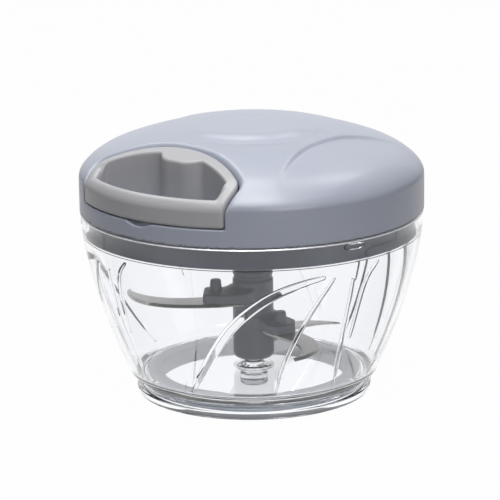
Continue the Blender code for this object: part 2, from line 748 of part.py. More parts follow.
def make_lid_screw(number, place, parent):
    bm = bmesh.new()
    head_top = PLATE_BOTTOM - FIT_GAP
    tip = PLATE_BOTTOM + SCREW_LENGTH
    outline = [
        (0.0, head_top - SCREW_HEAD_HEIGHT), (SCREW_HEAD_RADIUS * 0.8, head_top - SCREW_HEAD_HEIGHT),
        (SCREW_HEAD_RADIUS, head_top), (SCREW_RADIUS, head_top),
        (SCREW_RADIUS, tip - SCREW_POINT), (0.0, tip),
    ]
    add_spin(bm, outline, SMALL_STEPS, place)
    return dress(finish_mesh(f"lid_screw_{number}", bm), "bright_steel", parent)


# Spool, spring and coupler

def make_spring_housing(parent):
    inner = HOUSING_RADIUS - HOUSING_WALL
    hole = AXLE_RADIUS + FIT_GAP
    outline = [
        (hole, HOUSING_UNDERSIDE), (inner, HOUSING_UNDERSIDE), (inner, SPRING_COVER_BOTTOM),
        (HOUSING_RADIUS, SPRING_COVER_BOTTOM), (HOUSING_RADIUS, HOUSING_HEIGHT), (hole, HOUSING_HEIGHT),
    ]
    return dress(spin("spring_housing", outline, MEDIUM_STEPS), "white_acetal", parent)


def ring_outline(inner, outer, low, high):
    return [(inner, low), (outer, low), (outer, high), (inner, high)]


def make_spring_cover(parent):
    outline = ring_outline(
        ARBOR_RADIUS + RUNNING_GAP, HOUSING_RADIUS - HOUSING_WALL - FIT_GAP,
        SPRING_COVER_BOTTOM, SPRING_COVER_BOTTOM + SPRING_COVER_THICKNESS,
    )
    return dress(spin("spring_cover", outline, MEDIUM_STEPS), "white_acetal", parent)


def make_recoil_spring(parent):
    # A flat band wound outwards from the spool's arbor to the housing's wall.
    start = ARBOR_RADIUS + FIT_GAP + SPRING_BAND
    end = HOUSING_RADIUS - HOUSING_WALL - FIT_GAP - SPRING_BAND
    count = int(SPRING_TURNS * SPRING_POINTS_PER_TURN)
    inside, outside = [], []
    for step in range(count + 1):
        share = step / count
        angle = share * SPRING_TURNS * math.tau
        radius = start + (end - start) * share
        for row, offset in ((inside, -SPRING_BAND / 2), (outside, SPRING_BAND / 2)):
            row.append(((radius + offset) * math.cos(angle), (radius + offset) * math.sin(angle)))
    band = prism("recoil_spring", outside + inside[::-1], SPRING_BOTTOM, SPRING_TOP)
    return dress(band, "spring_steel", parent)


def make_spool_axle(parent):
    axle = prism("spool_axle", circle(AXLE_RADIUS, SMALL_STEPS), AXLE_BOTTOM, AXLE_TOP)
    return dress(axle, "bright_steel", parent)


def make_axle_clip(parent):
    inner = AXLE_RADIUS + FIT_GAP
    outline = ring_outline(inner, inner + CLIP_WALL, CLIP_TOP - CLIP_THICKNESS, CLIP_TOP)
    return dress(spin("axle_clip", outline, SMALL_STEPS), "bright_steel", parent)


def make_spool(parent):
    bore = AXLE_RADIUS + RUNNING_GAP
    clip_pocket = AXLE_RADIUS + FIT_GAP + CLIP_WALL + RUNNING_GAP
    outline = [
        (clip_pocket, SPOOL_BOTTOM), (SPOOL_FLANGE_RADIUS, SPOOL_BOTTOM),
        (SPOOL_FLANGE_RADIUS, DRUM_BOTTOM), (DRUM_RADIUS, DRUM_BOTTOM),
        (DRUM_RADIUS, DRUM_TOP), (SPOOL_FLANGE_RADIUS, DRUM_TOP),
        (SPOOL_FLANGE_RADIUS, SPOOL_TOP), (ARBOR_RADIUS, SPOOL_TOP),
        (ARBOR_RADIUS, SPRING_TOP), (bore, SPRING_TOP),
        (bore, CLIP_POCKET_TOP), (clip_pocket, CLIP_POCKET_TOP),
    ]
    spool = dress(spin("spool", outline, MEDIUM_STEPS), "white_acetal", parent)
    socket = prism(
        "spigot_socket", hexagon(SPIGOT_FLATS + 2 * FIT_GAP), SPOOL_BOTTOM - OVERRUN, CLIP_POCKET_BOTTOM,
    )
    cut(spool, socket)
    return spool


def make_drive_coupler(parent):
    outline = [
        (0.0, COUPLER_BOTTOM), (COUPLER_RADIUS, COUPLER_BOTTOM),
        (COUPLER_RADIUS, BUSH_TOP + FIT_GAP), (COUPLER_FLANGE_RADIUS, BUSH_TOP + FIT_GAP),
        (COUPLER_FLANGE_RADIUS, COUPLER_TOP), (0.0, COUPLER_TOP),
    ]
    coupler = dress(spin("drive_coupler", outline, MEDIUM_STEPS), "slate_plastic", parent)
    spigot = prism("coupler_spigot", hexagon(SPIGOT_FLATS), COUPLER_BOTTOM + FIT_GAP, COUPLER_TOP + SPIGOT_HEIGHT)
    stub = prism("coupler_stub", hexagon(STUB_FLATS), STUB_BOTTOM, COUPLER_TOP - FIT_GAP)
    combine(coupler, spigot, "UNION")
    combine(coupler, stub, "UNION")
    return coupler


def make_drive_bush(parent):
    inner = COUPLER_RADIUS + FIT_GAP
    outline = [
        (inner, PLATE_BOTTOM), (BUSH_RADIUS, PLATE_BOTTOM), (BUSH_RADIUS, PLATE_TOP + FIT_GAP),
        (BUSH_RADIUS + BUSH_FLANGE_WIDTH, PLATE_TOP + FIT_GAP),
        (BUSH_RADIUS + BUSH_FLANGE_WIDTH, BUSH_TOP), (inner, BUSH_TOP),
    ]
    return dress(spin("drive_bush", outline, MEDIUM_STEPS), "white_acetal", parent)


# Cord, from the spool through the eyelet to the knot in the handle

def eyelet_inner_end():
    return POCKET_BACK - POCKET_WALL - EYELET_LIP


def cord_corner():
    # Where the cord turns towards the handle, just inside the eyelet.
    return Vector((eyelet_inner_end() - CORD_CORNER_RUN + CORD_RADIUS, 0.0, CORD_HEIGHT))


def leaving_angle():
    return -math.acos(WINDING_RADIUS / cord_corner().x)


def leaving_point():
    angle = leaving_angle()
    return Vector((WINDING_RADIUS * math.cos(angle), WINDING_RADIUS * math.sin(angle), CORD_HEIGHT))


def winding_points():
    count = int(CORD_TURNS * CORD_LOOP_POINTS)
    points = []
    for step in range(count + 1):
        left = (1 - step / count) * CORD_TURNS
        angle = leaving_angle() - left * math.tau
        height = CORD_HEIGHT - left * CORD_PITCH
        points.append(Vector((WINDING_RADIUS * math.cos(angle), WINDING_RADIUS * math.sin(angle), height)))
    away = (cord_corner() - leaving_point()).normalized()
    points.append(points[-1] + away * 2 * CORD_RADIUS)
    return points


def least_gap(points):
    # The least space between turns of the winding that lie at least half a turn apart.
    gaps = []
    for first, point in enumerate(points):
        for other in points[first + CORD_LOOP_POINTS // 2:]:
            gaps.append((other - point).length - 2 * CORD_RADIUS)
    return min(gaps)


def pull_cord_points():
    corner = cord_corner()
    away = (corner - leaving_point()).normalized()
    start = leaving_point() + away * (2 * CORD_RADIUS + FIT_GAP)
    bend_start = corner - away * CORD_CORNER_RUN
    bend_end = corner + Vector((CORD_CORNER_RUN, 0, 0))
    points = [start, start.lerp(bend_start, 0.5)]
    for step in range(CORD_CORNER_POINTS + 1):
        share = step / CORD_CORNER_POINTS
        points.append(bend_start.lerp(corner, share).lerp(corner.lerp(bend_end, share), share))
    end = Vector((knot_place() - KNOT_RADIUS - FIT_GAP, 0.0, CORD_HEIGHT))
    points.append(end)
    return points


def make_cord_winding(parent):
    points = winding_points()
    print("least gap between the cord's turns:", round(least_gap(points), 5))
    return dress(cord("cord_winding", points, 1), "cord_fibre", parent, HANDLE_TURN)


def make_pull_cord(parent):
    return dress(cord("pull_cord", pull_cord_points(), 2), "cord_fibre", parent, HANDLE_TURN)


def make_cord_eyelet(parent):
    wall_inner = POCKET_BACK - POCKET_WALL
    outline = [
        (EYELET_BORE, eyelet_inner_end()), (EYELET_RADIUS + EYELET_PROUD, eyelet_inner_end()),
        (EYELET_RADIUS + EYELET_PROUD, wall_inner - FIT_GAP), (EYELET_RADIUS, wall_inner - FIT_GAP),
        (EYELET_RADIUS, POCKET_BACK), (EYELET_BORE, POCKET_BACK),
    ]
    eyelet = spin("cord_eyelet", outline, SMALL_STEPS)
    turned = Matrix.Rotation(math.pi / 2, 4, "Y")
    eyelet.data.transform(Matrix.Translation((0, 0, CORD_HEIGHT)) @ turned)
    return dress(eyelet, "bright_steel", parent, HANDLE_TURN)


# Pull handle

def knot_place():
    return POCKET_BACK + HANDLE_GAP + KNOT_BORE_OFFSET


def make_pull_handle(parent):
    bottom = POCKET_FLOOR + FIT_GAP
    handle = prism("pull_handle", pocket_outline(HANDLE_GAP), bottom, LID_TOP)
    handle = dress(handle, "handle_plastic", parent, HANDLE_TURN)
    crown = spin("handle_crown", dome_outline(HANDLE_DROP), LARGE_STEPS)
    combine(handle, crown, "INTERSECT")

    side = POCKET_HALF_WIDTH - HANDLE_GAP - HANDLE_SIDE_WALL
    back = POCKET_BACK + HANDLE_GAP + HANDLE_BACK_WALL
    plan = bay_outline(side, back, POCKET_BACK_RADIUS, OPENING_CORNER)
    opening = prism("finger_opening", plan, bottom - OVERRUN, LID_TOP + OVERRUN)
    front = prism(
        "front_bar_face", circle(LID_RADIUS - HANDLE_FRONT_WALL, LARGE_STEPS),
        bottom - 2 * OVERRUN, LID_TOP + 2 * OVERRUN,
    )
    combine(opening, front, "INTERSECT")
    boss_centre = (POCKET_BACK + HANDLE_GAP + BOSS_SETBACK, 0.0)
    boss = prism(
        "cord_boss", circle(BOSS_RADIUS, MEDIUM_STEPS, boss_centre), bottom - 2 * OVERRUN, LID_TOP + 2 * OVERRUN,
    )
    cut(opening, boss)
    knot_bore = prism(
        "knot_bore", circle(KNOT_BORE_RADIUS, SMALL_STEPS, (knot_place(), 0.0)),
        bottom - OVERRUN, CORD_HEIGHT + KNOT_BORE_RADIUS,
    )
    cord_way = lying_cylinder(
        "handle_cord_way", CORD_RADIUS + RUNNING_GAP, POCKET_BACK - OVERRUN, knot_place(),
        CORD_HEIGHT, SMALL_STEPS,
    )
    for cutter in (opening, front, boss, knot_bore, cord_way):
        cutter.rotation_euler.z = math.radians(HANDLE_TURN)
    cut(handle, opening, knot_bore, cord_way)
    return handle


def make_cord_knot(parent):
    bm = bmesh.new()
    place = Matrix.Translation((knot_place(), 0.0, CORD_HEIGHT))
    bmesh.ops.create_uvsphere(bm, u_segments=SMALL_STEPS, v_segments=6, radius=KNOT_RADIUS, matrix=place)
    return dress(finish_mesh("cord_knot", bm), "cord_fibre", parent, HANDLE_TURN)


# Blade shaft, blades and pins

def arm_outline(inset=0.0):
    reach, lead, trail = ARM_REACH - inset, ARM_LEADING - inset, ARM_TRAILING - inset
    front = arc((reach - ARM_CORNER, lead - ARM_CORNER), ARM_CORNER, 0, math.pi / 2, 3)
    rear = arc((reach - ARM_CORNER, ARM_CORNER - trail), ARM_CORNER, -math.pi / 2, 0, 3)
    root = SHAFT_RADIUS / 2
    return [(root, -trail)] + rear + front + [(root, lead)]


def blade_height(blade):
    return FLOOR_TOP + blade["lift"]


def blade_reach(blade):
    return inner_radius(blade_height(blade)) - RIB_DEPTH - BLADE_CLEARANCE


def make_blade_shaft(parent):
    bore = SPIKE_RADIUS + RUNNING_GAP
    bore_top = FLOOR_TOP + SPIKE_HEIGHT + SHAFT_BORE_TIP
    outline = [
        (bore, SHAFT_BOTTOM), (SHAFT_RADIUS - SHAFT_EDGE, SHAFT_BOTTOM),
        (SHAFT_RADIUS, SHAFT_BOTTOM + SHAFT_EDGE), (SHAFT_RADIUS, SHAFT_NECK),
        (SHAFT_NECK_RADIUS, SHAFT_NECK), (SHAFT_NECK_RADIUS, SHAFT_TOP),
        (0.0, SHAFT_TOP),
    ]
    outline = [(0.0, bore_top), (bore, bore_top)] + outline
    shaft = dress(spin("blade_shaft", outline, MEDIUM_STEPS), "slate_plastic", parent)
    socket = prism(
        "stub_socket", hexagon(STUB_FLATS + 2 * FIT_GAP), STUB_BOTTOM - FIT_GAP, SHAFT_TOP + OVERRUN,
    )
    cutters = [socket]
    for name, blade in BLADES.items():
        height = blade_height(blade)
        low = height + BLADE_THICKNESS / 2 + FIT_GAP
        arm = prism(f"arm_{name}", arm_outline(), low, low + ARM_HEIGHT)
        hole = prism(
            f"pin_hole_{name}", circle(PIN_RADIUS + FIT_GAP, SMALL_STEPS, (PIN_REACH, PIN_OFFSET)),
            low - OVERRUN, low + ARM_HEIGHT + OVERRUN,
        )
        for piece in (arm, hole):
            piece.rotation_euler.z = math.radians(blade["turn"])
        combine(shaft, arm, "UNION")
        cutters.append(hole)
    cut(shaft, *cutters)
    return shaft


def blade_outline(reach):
    # Swept blade as (along, across) points: leading edge, trailing edge, and the root that is
    # hollowed round the shaft.
    lead = [(x * reach, y * reach) for x, y in LEADING_EDGE_SHARES]
    trail = [(x * reach, y * reach) for x, y in TRAILING_EDGE_SHARES]
    first, last = (math.radians(angle) for angle in BLADE_ROOT_ANGLES)
    root = arc((0.0, 0.0), SHAFT_RADIUS + FIT_GAP, last, first, 5)
    return lead, trail + root


def make_blade(name, blade, parent):
    # The leading edge is ground on top: the upper face stops short of it.
    reach = blade_reach(blade)
    lead, trail = blade_outline(reach)
    along_share, across_share = BEVEL_SHARES
    ground = []
    for x, y in lead:
        ground.append((x * along_share, y * across_share if y > 0 else y))
    low = blade_height(blade) - BLADE_THICKNESS / 2
    high = blade_height(blade) + BLADE_THICKNESS / 2
    edge = low + BLADE_EDGE_THICKNESS
    bm = bmesh.new()
    bottom = [bm.verts.new((x, y, low)) for x, y in lead + trail]
    middle = [bm.verts.new((x, y, edge)) for x, y in lead + trail]
    top = [bm.verts.new((x, y, high)) for x, y in ground + trail]
    count = len(bottom)
    for first in range(count):
        second = (first + 1) % count
        bm.faces.new((bottom[first], bottom[second], middle[second], middle[first]))
        bm.faces.new((middle[first], middle[second], top[second], top[first]))
    bm.faces.new(bottom[::-1])
    bm.faces.new(top)
    steel = dress(finish_mesh(f"blade_{name}", bm, smooth=False), "blade_steel", parent, blade["turn"])
    hole = prism(
        f"blade_hole_{name}", circle(PIN_RADIUS + FIT_GAP, SMALL_STEPS, (PIN_REACH, PIN_OFFSET)),
        low - OVERRUN, high + OVERRUN,
    )
    hole.rotation_euler.z = math.radians(blade["turn"])
    cut(steel, hole)
    return steel


def make_blade_pin(name, blade, parent):
    # Holds the blade up against its arm: a foot under the blade and a peg above the arm.
    under = blade_height(blade) - BLADE_THICKNESS / 2 - FIT_GAP
    seat = blade_height(blade) + BLADE_THICKNESS / 2 + ARM_HEIGHT + 2 * FIT_GAP
    outline = [
        (0.0, under - PIN_FOOT_HEIGHT), (PIN_FOOT_RADIUS, under - PIN_FOOT_HEIGHT),
        (PIN_FOOT_RADIUS, under), (PIN_RADIUS, under), (PIN_RADIUS, seat),
        (PIN_HEAD_RADIUS, seat), (PIN_HEAD_TIP_RADIUS, seat + PIN_HEAD_HEIGHT),
        (0.0, seat + PIN_HEAD_HEIGHT),
    ]
    bm = bmesh.new()
    add_spin(bm, outline, SMALL_STEPS, (PIN_REACH, PIN_OFFSET))
    return dress(finish_mesh(f"blade_pin_{name}", bm), "slate_plastic", parent, blade["turn"])


def add_frame(name, parent=None):
    # An empty on the vertical axis that carries the pieces of one moving group.
    frame = add_object(name, None)
    frame.parent = parent
    return frame


clear_scene()
FINISH_MATERIALS = make_finishes()

bowl_frame = add_frame("bowl_frame")
seal_frame = add_frame("seal_frame", bowl_frame)
lid_frame = add_frame("lid_frame", seal_frame)
drive_frame = add_frame("drive_frame", lid_frame)
blade_frame = add_frame("blade_frame", drive_frame)
handle_frame = add_frame("handle_frame", lid_frame)

make_bowl().parent = bowl_frame
make_non_slip_ring().parent = bowl_frame
make_seal_ring(seal_frame)

make_lid_cover(lid_frame)
make_lid_base(lid_frame)
for screw_number, screw_place in enumerate(screw_places(), 1):
    make_lid_screw(screw_number, screw_place, lid_frame)
make_spring_housing(lid_frame)
make_spring_cover(lid_frame)
make_recoil_spring(lid_frame)
make_spool_axle(lid_frame)
make_axle_clip(lid_frame)
make_drive_bush(lid_frame)
make_cord_eyelet(lid_frame)
make_pull_cord(lid_frame)

make_spool(drive_frame)
make_cord_winding(drive_frame)
make_drive_coupler(drive_frame)

make_blade_shaft(blade_frame)
for blade_name, blade_sizes in BLADES.items():
    make_blade(blade_name, blade_sizes, blade_frame)
    make_blade_pin(blade_name, blade_sizes, blade_frame)

make_pull_handle(handle_frame)
make_cord_knot(handle_frame)

bpy.context.view_layer.update()
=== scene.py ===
import json
from math import acos, atan2, cos, pi, radians, sin, sqrt, tau

import bmesh
import bpy
import numpy as np
from mathutils import Matrix, Vector


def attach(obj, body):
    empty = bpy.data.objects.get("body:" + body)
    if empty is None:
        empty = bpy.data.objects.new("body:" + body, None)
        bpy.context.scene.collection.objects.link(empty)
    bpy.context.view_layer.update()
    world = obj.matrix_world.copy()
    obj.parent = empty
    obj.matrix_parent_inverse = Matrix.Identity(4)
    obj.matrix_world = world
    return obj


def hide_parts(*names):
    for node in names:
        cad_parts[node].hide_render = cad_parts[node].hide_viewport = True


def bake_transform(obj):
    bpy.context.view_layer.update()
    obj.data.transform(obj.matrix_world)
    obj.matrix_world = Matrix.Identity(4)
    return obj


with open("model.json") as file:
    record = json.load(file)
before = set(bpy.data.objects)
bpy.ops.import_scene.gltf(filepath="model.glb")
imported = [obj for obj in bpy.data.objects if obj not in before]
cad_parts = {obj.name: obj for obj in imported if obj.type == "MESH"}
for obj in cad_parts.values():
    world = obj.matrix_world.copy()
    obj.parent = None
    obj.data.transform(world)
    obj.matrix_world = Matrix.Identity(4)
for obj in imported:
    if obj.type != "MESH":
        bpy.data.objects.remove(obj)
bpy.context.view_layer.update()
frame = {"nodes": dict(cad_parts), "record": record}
print("frame loaded")


class Settings(dict):
    # a dictionary whose values can also be read as settings.name
    __getattr__ = dict.__getitem__


# levels and turns that several pieces share, in metres and degrees
shared = Settings(
    lidEdge=0.0682, shoulder=0.0815, domeRise=0.0185, lidRadius=0.0625, plateTop=0.0698, plateBottom=0.0678,
    skirtBottom=0.0599, skirtRadius=0.0585, bowlHeight=0.0679, floorTop=0.009, pocketFloor=0.0747,
    handleTurn=-129.5, cordHeight=0.082975, knotV=0.0392,  # knotV: how far out the cord's knot is
    bumpTurns=(-54.5, 65.5, 185.5), screwTurns=(-132, -58, 58, 132), screwCircle=0.046, clearance=0.0003,
)


def polar(radius, angle, *rest):
    # a point at an angle in radians round the upright axis
    return (radius * cos(angle), radius * sin(angle), *rest)


def fromMm(points):
    return [tuple(v / 1000 for v in p) for p in points]


def smooth(share):
    return share * share * (3 - 2 * share)


def addPiece(name, data):
    piece = bpy.data.objects.new(name, data)
    bpy.context.collection.objects.link(piece)
    return piece


def meshPiece(name, points, faces=(), edges=(), **values):
    # values are rows of named numbers, one number for each point, for Geometry Nodes to use
    mesh = bpy.data.meshes.new(name)
    mesh.from_pydata([tuple(p) for p in points], edges, [tuple(f) for f in faces])
    mesh.shade_smooth()
    for key, row in values.items():
        mesh.attributes.new(key, "FLOAT", "POINT").data.foreach_set("value", row)
    return addPiece(name, mesh)


def bend(start, corner, end, steps):
    # points along a soft corner
    return [start.lerp(corner, t).lerp(corner.lerp(end, t), t) for t in (i / steps for i in range(steps + 1))]


def softened(outline, radius, steps=4):
    # rounds each corner of a closed outline, by at most a third of its shorter side
    points = [Vector(p) for p in outline]
    result = []
    for i, corner in enumerate(points):
        back, ahead = points[i - 1] - corner, points[(i + 1) % len(points)] - corner
        reach = min(radius, back.length / 3, ahead.length / 3)
        result += bend(corner + back.normalized() * reach, corner, corner + ahead.normalized() * reach, steps)
    return [tuple(p) for p in result]


def smoothRow(points, rounds=2):
    # cuts the corners of an open line again and again, and keeps its ends
    for _ in range(rounds):
        cutLine = [points[0]]
        for a, b in zip(points, points[1:]):
            a, b = np.array(a), np.array(b)
            cutLine += [tuple(a * 0.75 + b * 0.25), tuple(a * 0.25 + b * 0.75)]
        points = cutLine + [points[-1]]
    return points


def supported(outline, closed, margin=0.00015, least=0.002):
    # adds a point near both ends of each long run, so that flat faces are shaded flat
    result = []
    for i, point in enumerate(outline):
        result.append(tuple(point))
        a, b = Vector(point), Vector(outline[(i + 1) % len(outline)])
        if (b - a).length > least and (closed or i < len(outline) - 1):
            share = margin / (b - a).length
            result += [tuple(a.lerp(b, share)), tuple(a.lerp(b, 1 - share))]
    return result


def turned(name, outline, steps=144, sharpAngle=40):
    # turns (radius, height) points about the upright axis; an outline that starts off the axis is closed
    closed = outline[0][0] > 0
    rows = supported(outline, closed)
    points = [polar(radius, tau * i / steps, height) for radius, height in rows for i in range(steps)]
    faces = [[k % len(points) for k in face] for face in bandFaces(0, steps, len(rows) + closed)]
    return recalculated(meshPiece(name, points, faces), sharpAngle)


def recalculated(piece, sharpAngle=None):
    # merges points in one place and turns all faces outwards
    bm = bmesh.new()
    bm.from_mesh(piece.data)
    bmesh.ops.remove_doubles(bm, verts=bm.verts, dist=1e-7)
    bmesh.ops.recalc_face_normals(bm, faces=bm.faces)
    bm.to_mesh(piece.data)
    bm.free()
    return shaded(piece, sharpAngle) if sharpAngle else piece


def evaluatedMesh(piece):
    bpy.context.view_layer.update()
    graph = bpy.context.evaluated_depsgraph_get()
    return bpy.data.meshes.new_from_object(piece.evaluated_get(graph))


def combined(piece, operation, *others):
    # joins others to a piece with "UNION" or cuts them out of it with "DIFFERENCE"
    for other in others:
        modifier = piece.modifiers.new("combine", "BOOLEAN")
        modifier.operation = operation
        modifier.solver = "MANIFOLD"
        modifier.object = other
        mesh = evaluatedMesh(piece)
        piece.modifiers.remove(modifier)
        piece.data = mesh
        bpy.data.objects.remove(other)
    return piece


def shaded(piece, sharpAngle):
    piece.data.shade_smooth()
    piece.data.set_sharp_from_angle(angle=radians(sharpAngle))
    return piece


def bandFaces(first, around, rows, capped=False):
    # quads between rings of points that follow one another
    last = first + (rows - 1) * around
    faces = [range(first, first + around)[::-1], range(last, last + around)] if capped else []
    for low in range(first, last, around):
        high = low + around
        faces += [[low + i, low + (i + 1) % around, high + (i + 1) % around, high + i] for i in range(around)]
    return faces


def prism(name, *layers):
    # a solid through outlines that are given with their heights
    points = [(x, y, z) for z, outline in layers for x, y in outline]
    faces = bandFaces(0, len(points) // len(layers), len(layers), capped=True)
    return recalculated(meshPiece(name, points, faces))


# fields are distances, negative inside, worked on whole arrays of places
both, either = np.maximum, np.minimum


def clipped(share):
    return np.clip(share, 0, 1)


def softMax(a, b, radius):
    h = both(radius - np.abs(a - b), 0) / radius
    return both(a, b) + h * h * radius / 4


def softMin(a, b, radius):
    return -softMax(-a, -b, radius)


class OutlineField:
    # distance to a closed outline in a plane, looked up in a fine table
    def __init__(self, outline, step=0.0003, margin=0.006):
        outline = np.array(outline, float)
        self.low, self.step = outline.min(axis=0) - margin, step
        size = np.ceil((outline.max(axis=0) + margin - self.low) / step).astype(int) + 2
        x, y = np.meshgrid(*[low + np.arange(n) * step for low, n in zip(self.low, size)], indexing="ij")
        best = np.full(x.shape, 1e9)
        inside = np.zeros(x.shape, bool)
        for (ax, ay), (bx, by) in zip(outline, np.roll(outline, -1, axis=0)):
            dx, dy = bx - ax, by - ay
            length = dx * dx + dy * dy
            if length < 1e-18:
                continue
            t = clipped(((x - ax) * dx + (y - ay) * dy) / length)
            best = either(best, (x - ax - t * dx) ** 2 + (y - ay - t * dy) ** 2)
            if abs(dy) > 1e-12:
                inside ^= ((ay > y) != (by > y)) & (x < ax + (y - ay) * dx / dy)
        self.table = np.sqrt(best) * np.where(inside, -1, 1)

    def __call__(self, *place):
        t = self.table
        u, v = [np.clip((p - low) / self.step, 0, n - 1.001) for p, low, n in zip(place, self.low, t.shape)]
        i, j = u.astype(int), v.astype(int)
        u, v = u - i, v - j
        near, far = [t[i, k] * (1 - u) + t[i + 1, k] * u for k in (j, j + 1)]
        return near * (1 - v) + far * v


def fieldPiece(name, field, settings):
    # meshes the surface where a field is zero: one point in each cell that it crosses
    cell = settings.cell
    low, high = settings.box
    axes = [np.arange(a, b + cell, cell) for a, b in zip(low, high)]
    inside = field(*np.meshgrid(*axes, indexing="ij")) < 0
    count = sum(inside[i:i - 1 or None, j:j - 1 or None, k:k - 1 or None].astype(int)
                for i in (0, 1) for j in (0, 1) for k in (0, 1))
    crossed = (count > 0) & (count < 8)
    index = np.full(crossed.shape, -1)
    index[crossed] = np.arange(crossed.sum())
    centres = np.array(low) + (np.argwhere(crossed) + 0.5) * cell
    points = centres.copy()

    def slope(p):
        e = cell * 0.05
        return np.stack([(field(*(p + step).T) - field(*(p - step).T)) / (2 * e) for step in np.eye(3) * e], axis=1)

    for _ in range(5):
        g = slope(points)
        pull = field(*points.T) / both((g * g).sum(axis=1), 0.05)
        points -= np.clip(g * pull[:, None], -cell, cell)
        points = np.clip(points, centres - cell * 0.75, centres + cell * 0.75)
    faces = []
    units = np.eye(3, dtype=int)
    for axis in range(3):
        b, c = units[axis - 2], units[axis - 1]
        near = inside[tuple(slice(0 if k == axis else 1, -1) for k in range(3))]
        far = inside[tuple(slice(1, None if k == axis else -1) for k in range(3))]
        for wanted, order in ((near & ~far, 1), (~near & far, -1)):
            spots = np.argwhere(wanted)
            corners = [index[tuple((spots + shift).T)] for shift in (0, b, b + c, c)]
            faces.append(np.stack(corners[::order], axis=1))
    faces = np.concatenate(faces)
    normals = slope(points)
    normals /= np.linalg.norm(normals, axis=1)[:, None]
    piece = meshPiece(name, points, faces)
    piece.data.normals_split_custom_set_from_vertices(normals)
    return piece


class Wire:
    # a socket that can be used in sums
    def __init__(self, nodes, socket):
        self.nodes, self.socket = nodes, socket

    def maths(self, operation, *values):
        return self.nodes.add("ShaderNodeMath", values, operation=operation)

    def __add__(self, other):
        return self.maths("ADD", self, other)

    def __sub__(self, other):
        return self.maths("SUBTRACT", self, other)

    def __mul__(self, other):
        return self.maths("MULTIPLY", self, other)

    def __rsub__(self, other):
        return self.maths("SUBTRACT", other, self)


class NodeBench:
    # adds nodes to a tree: each gets its settings, then values or wires for its sockets
    def add(self, kind, inputs=None, output=0, **settings):
        node = self.tree.nodes.new(kind)
        for key, value in settings.items():
            setattr(node, key, value)
        pairs = inputs.items() if isinstance(inputs, dict) else enumerate(inputs or [])
        for key, value in pairs:
            self.feed(node.inputs[key], value)
        return Wire(self, node.outputs[output])

    def eased(self, value, fromLow, fromHigh, toLow=0, toHigh=1):
        return self.add("ShaderNodeMapRange", {
            "Value": value, "From Min": fromLow, "From Max": fromHigh, "To Min": toLow, "To Max": toHigh,
        }, interpolation_type="SMOOTHSTEP")

    def feed(self, socket, value):
        if isinstance(value, Wire):
            self.tree.links.new(value.socket, socket)
        else:
            socket.default_value = value


class Finish(NodeBench):
    # one material and its node tree
    def __init__(self, name):
        self.material = bpy.data.materials.new(name)
        self.material.use_nodes = True
        self.tree = self.material.node_tree
        self.shader = self.tree.nodes["Principled BSDF"]
        self.place = self.add("ShaderNodeTexCoord", output="Object")

    def noise(self, scale, detail, **more):
        return self.add("ShaderNodeTexNoise", {"Vector": self.place, "Scale": scale, "Detail": detail, **more})

    def tinted(self, mask, colour, dark, light=1):
        # runs between a darker and a lighter shade of a screen colour
        shades = [[min(c * share, 1) for c in screenColour(*colour)[:3]] + [1] for share in (dark, light)]
        return self.add("ShaderNodeMix", {0: mask, 6: shades[0], 7: shades[1]}, output=2, data_type="RGBA")

    def bumped(self, strength, distance, height):
        return self.add("ShaderNodeBump", {"Strength": strength, "Distance": distance, "Height": height})

    def mixed(self, share, first, second):
        return self.add("ShaderNodeMixShader", [share, first, second])

    def surface(self, **values):
        for key, value in values.items():
            self.feed(self.shader.inputs[key.replace("_", " ")], value)
        return self.material

    def show(self, shader):
        self.feed(self.tree.nodes["Material Output"].inputs["Surface"], shader)
        return self.material


class Growth(NodeBench):
    # a geometry tree with named sizes, run on a carrier object and turned into a plain mesh
    def __init__(self, name, **sizes):
        self.name = name
        self.tree = bpy.data.node_groups.new(name, "GeometryNodeTree")
        sockets = self.tree.interface
        sockets.new_socket("Geometry", in_out="INPUT", socket_type="NodeSocketGeometry")
        self.sizes = {}
        for label, value in sizes.items():
            kind = {float: "Float", int: "Int"}.get(type(value), "Object")
            socket = sockets.new_socket(label, in_out="INPUT", socket_type=f"NodeSocket{kind}")
            self.sizes[socket.identifier] = value
        sockets.new_socket("Geometry", in_out="OUTPUT", socket_type="NodeSocketGeometry")
        self.source = self.tree.nodes.new("NodeGroupInput")
        self.drain = self.tree.nodes.new("NodeGroupOutput")

    def given(self, label="Geometry"):
        return Wire(self, self.source.outputs[label])

    def named(self, name):
        return self.add("GeometryNodeInputNamedAttribute", {"Name": name}, data_type="FLOAT")

    def grow(self, shape, slotName, carrier):
        whole = self.add("GeometryNodeRealizeInstances", [shape])
        coated = self.add("GeometryNodeSetMaterial", {"Geometry": whole, "Material": finishes[slotName]})
        self.feed(self.drain.inputs["Geometry"], coated)
        modifier = carrier.modifiers.new(self.name, "NODES")
        modifier.node_group = self.tree
        for identifier, value in self.sizes.items():
            modifier[identifier] = value
        mesh = evaluatedMesh(carrier)
        bpy.data.objects.remove(carrier)
        return addPiece(self.name, mesh)


def screenColour(*colour):
    shades = [v / 255 for v in colour]
    return [s / 12.92 if s < 0.04045 else ((s + 0.055) / 1.055) ** 2.4 for s in shades] + [1]


def mouldedPlastic(name, colour, specular, roughness, grainScale, grainStrength):
    # satin moulded plastic: fine spark-eroded grain, faint clouding, small rub marks
    finish = Finish(name)
    cloud, rub = finish.noise(38, 4), finish.noise(240, 5)
    grain = finish.noise(grainScale, 3, Roughness=0.6)
    return finish.surface(
        Base_Color=finish.tinted(cloud * 0.7 + rub * 0.3, colour, 0.94, 1.05), Specular_IOR_Level=specular,
        Roughness=cloud * 0.08 + rub * 0.06 + (roughness - 0.07), IOR=1.5,
        Normal=finish.bumped(grainStrength, 0.0001, grain),
    )


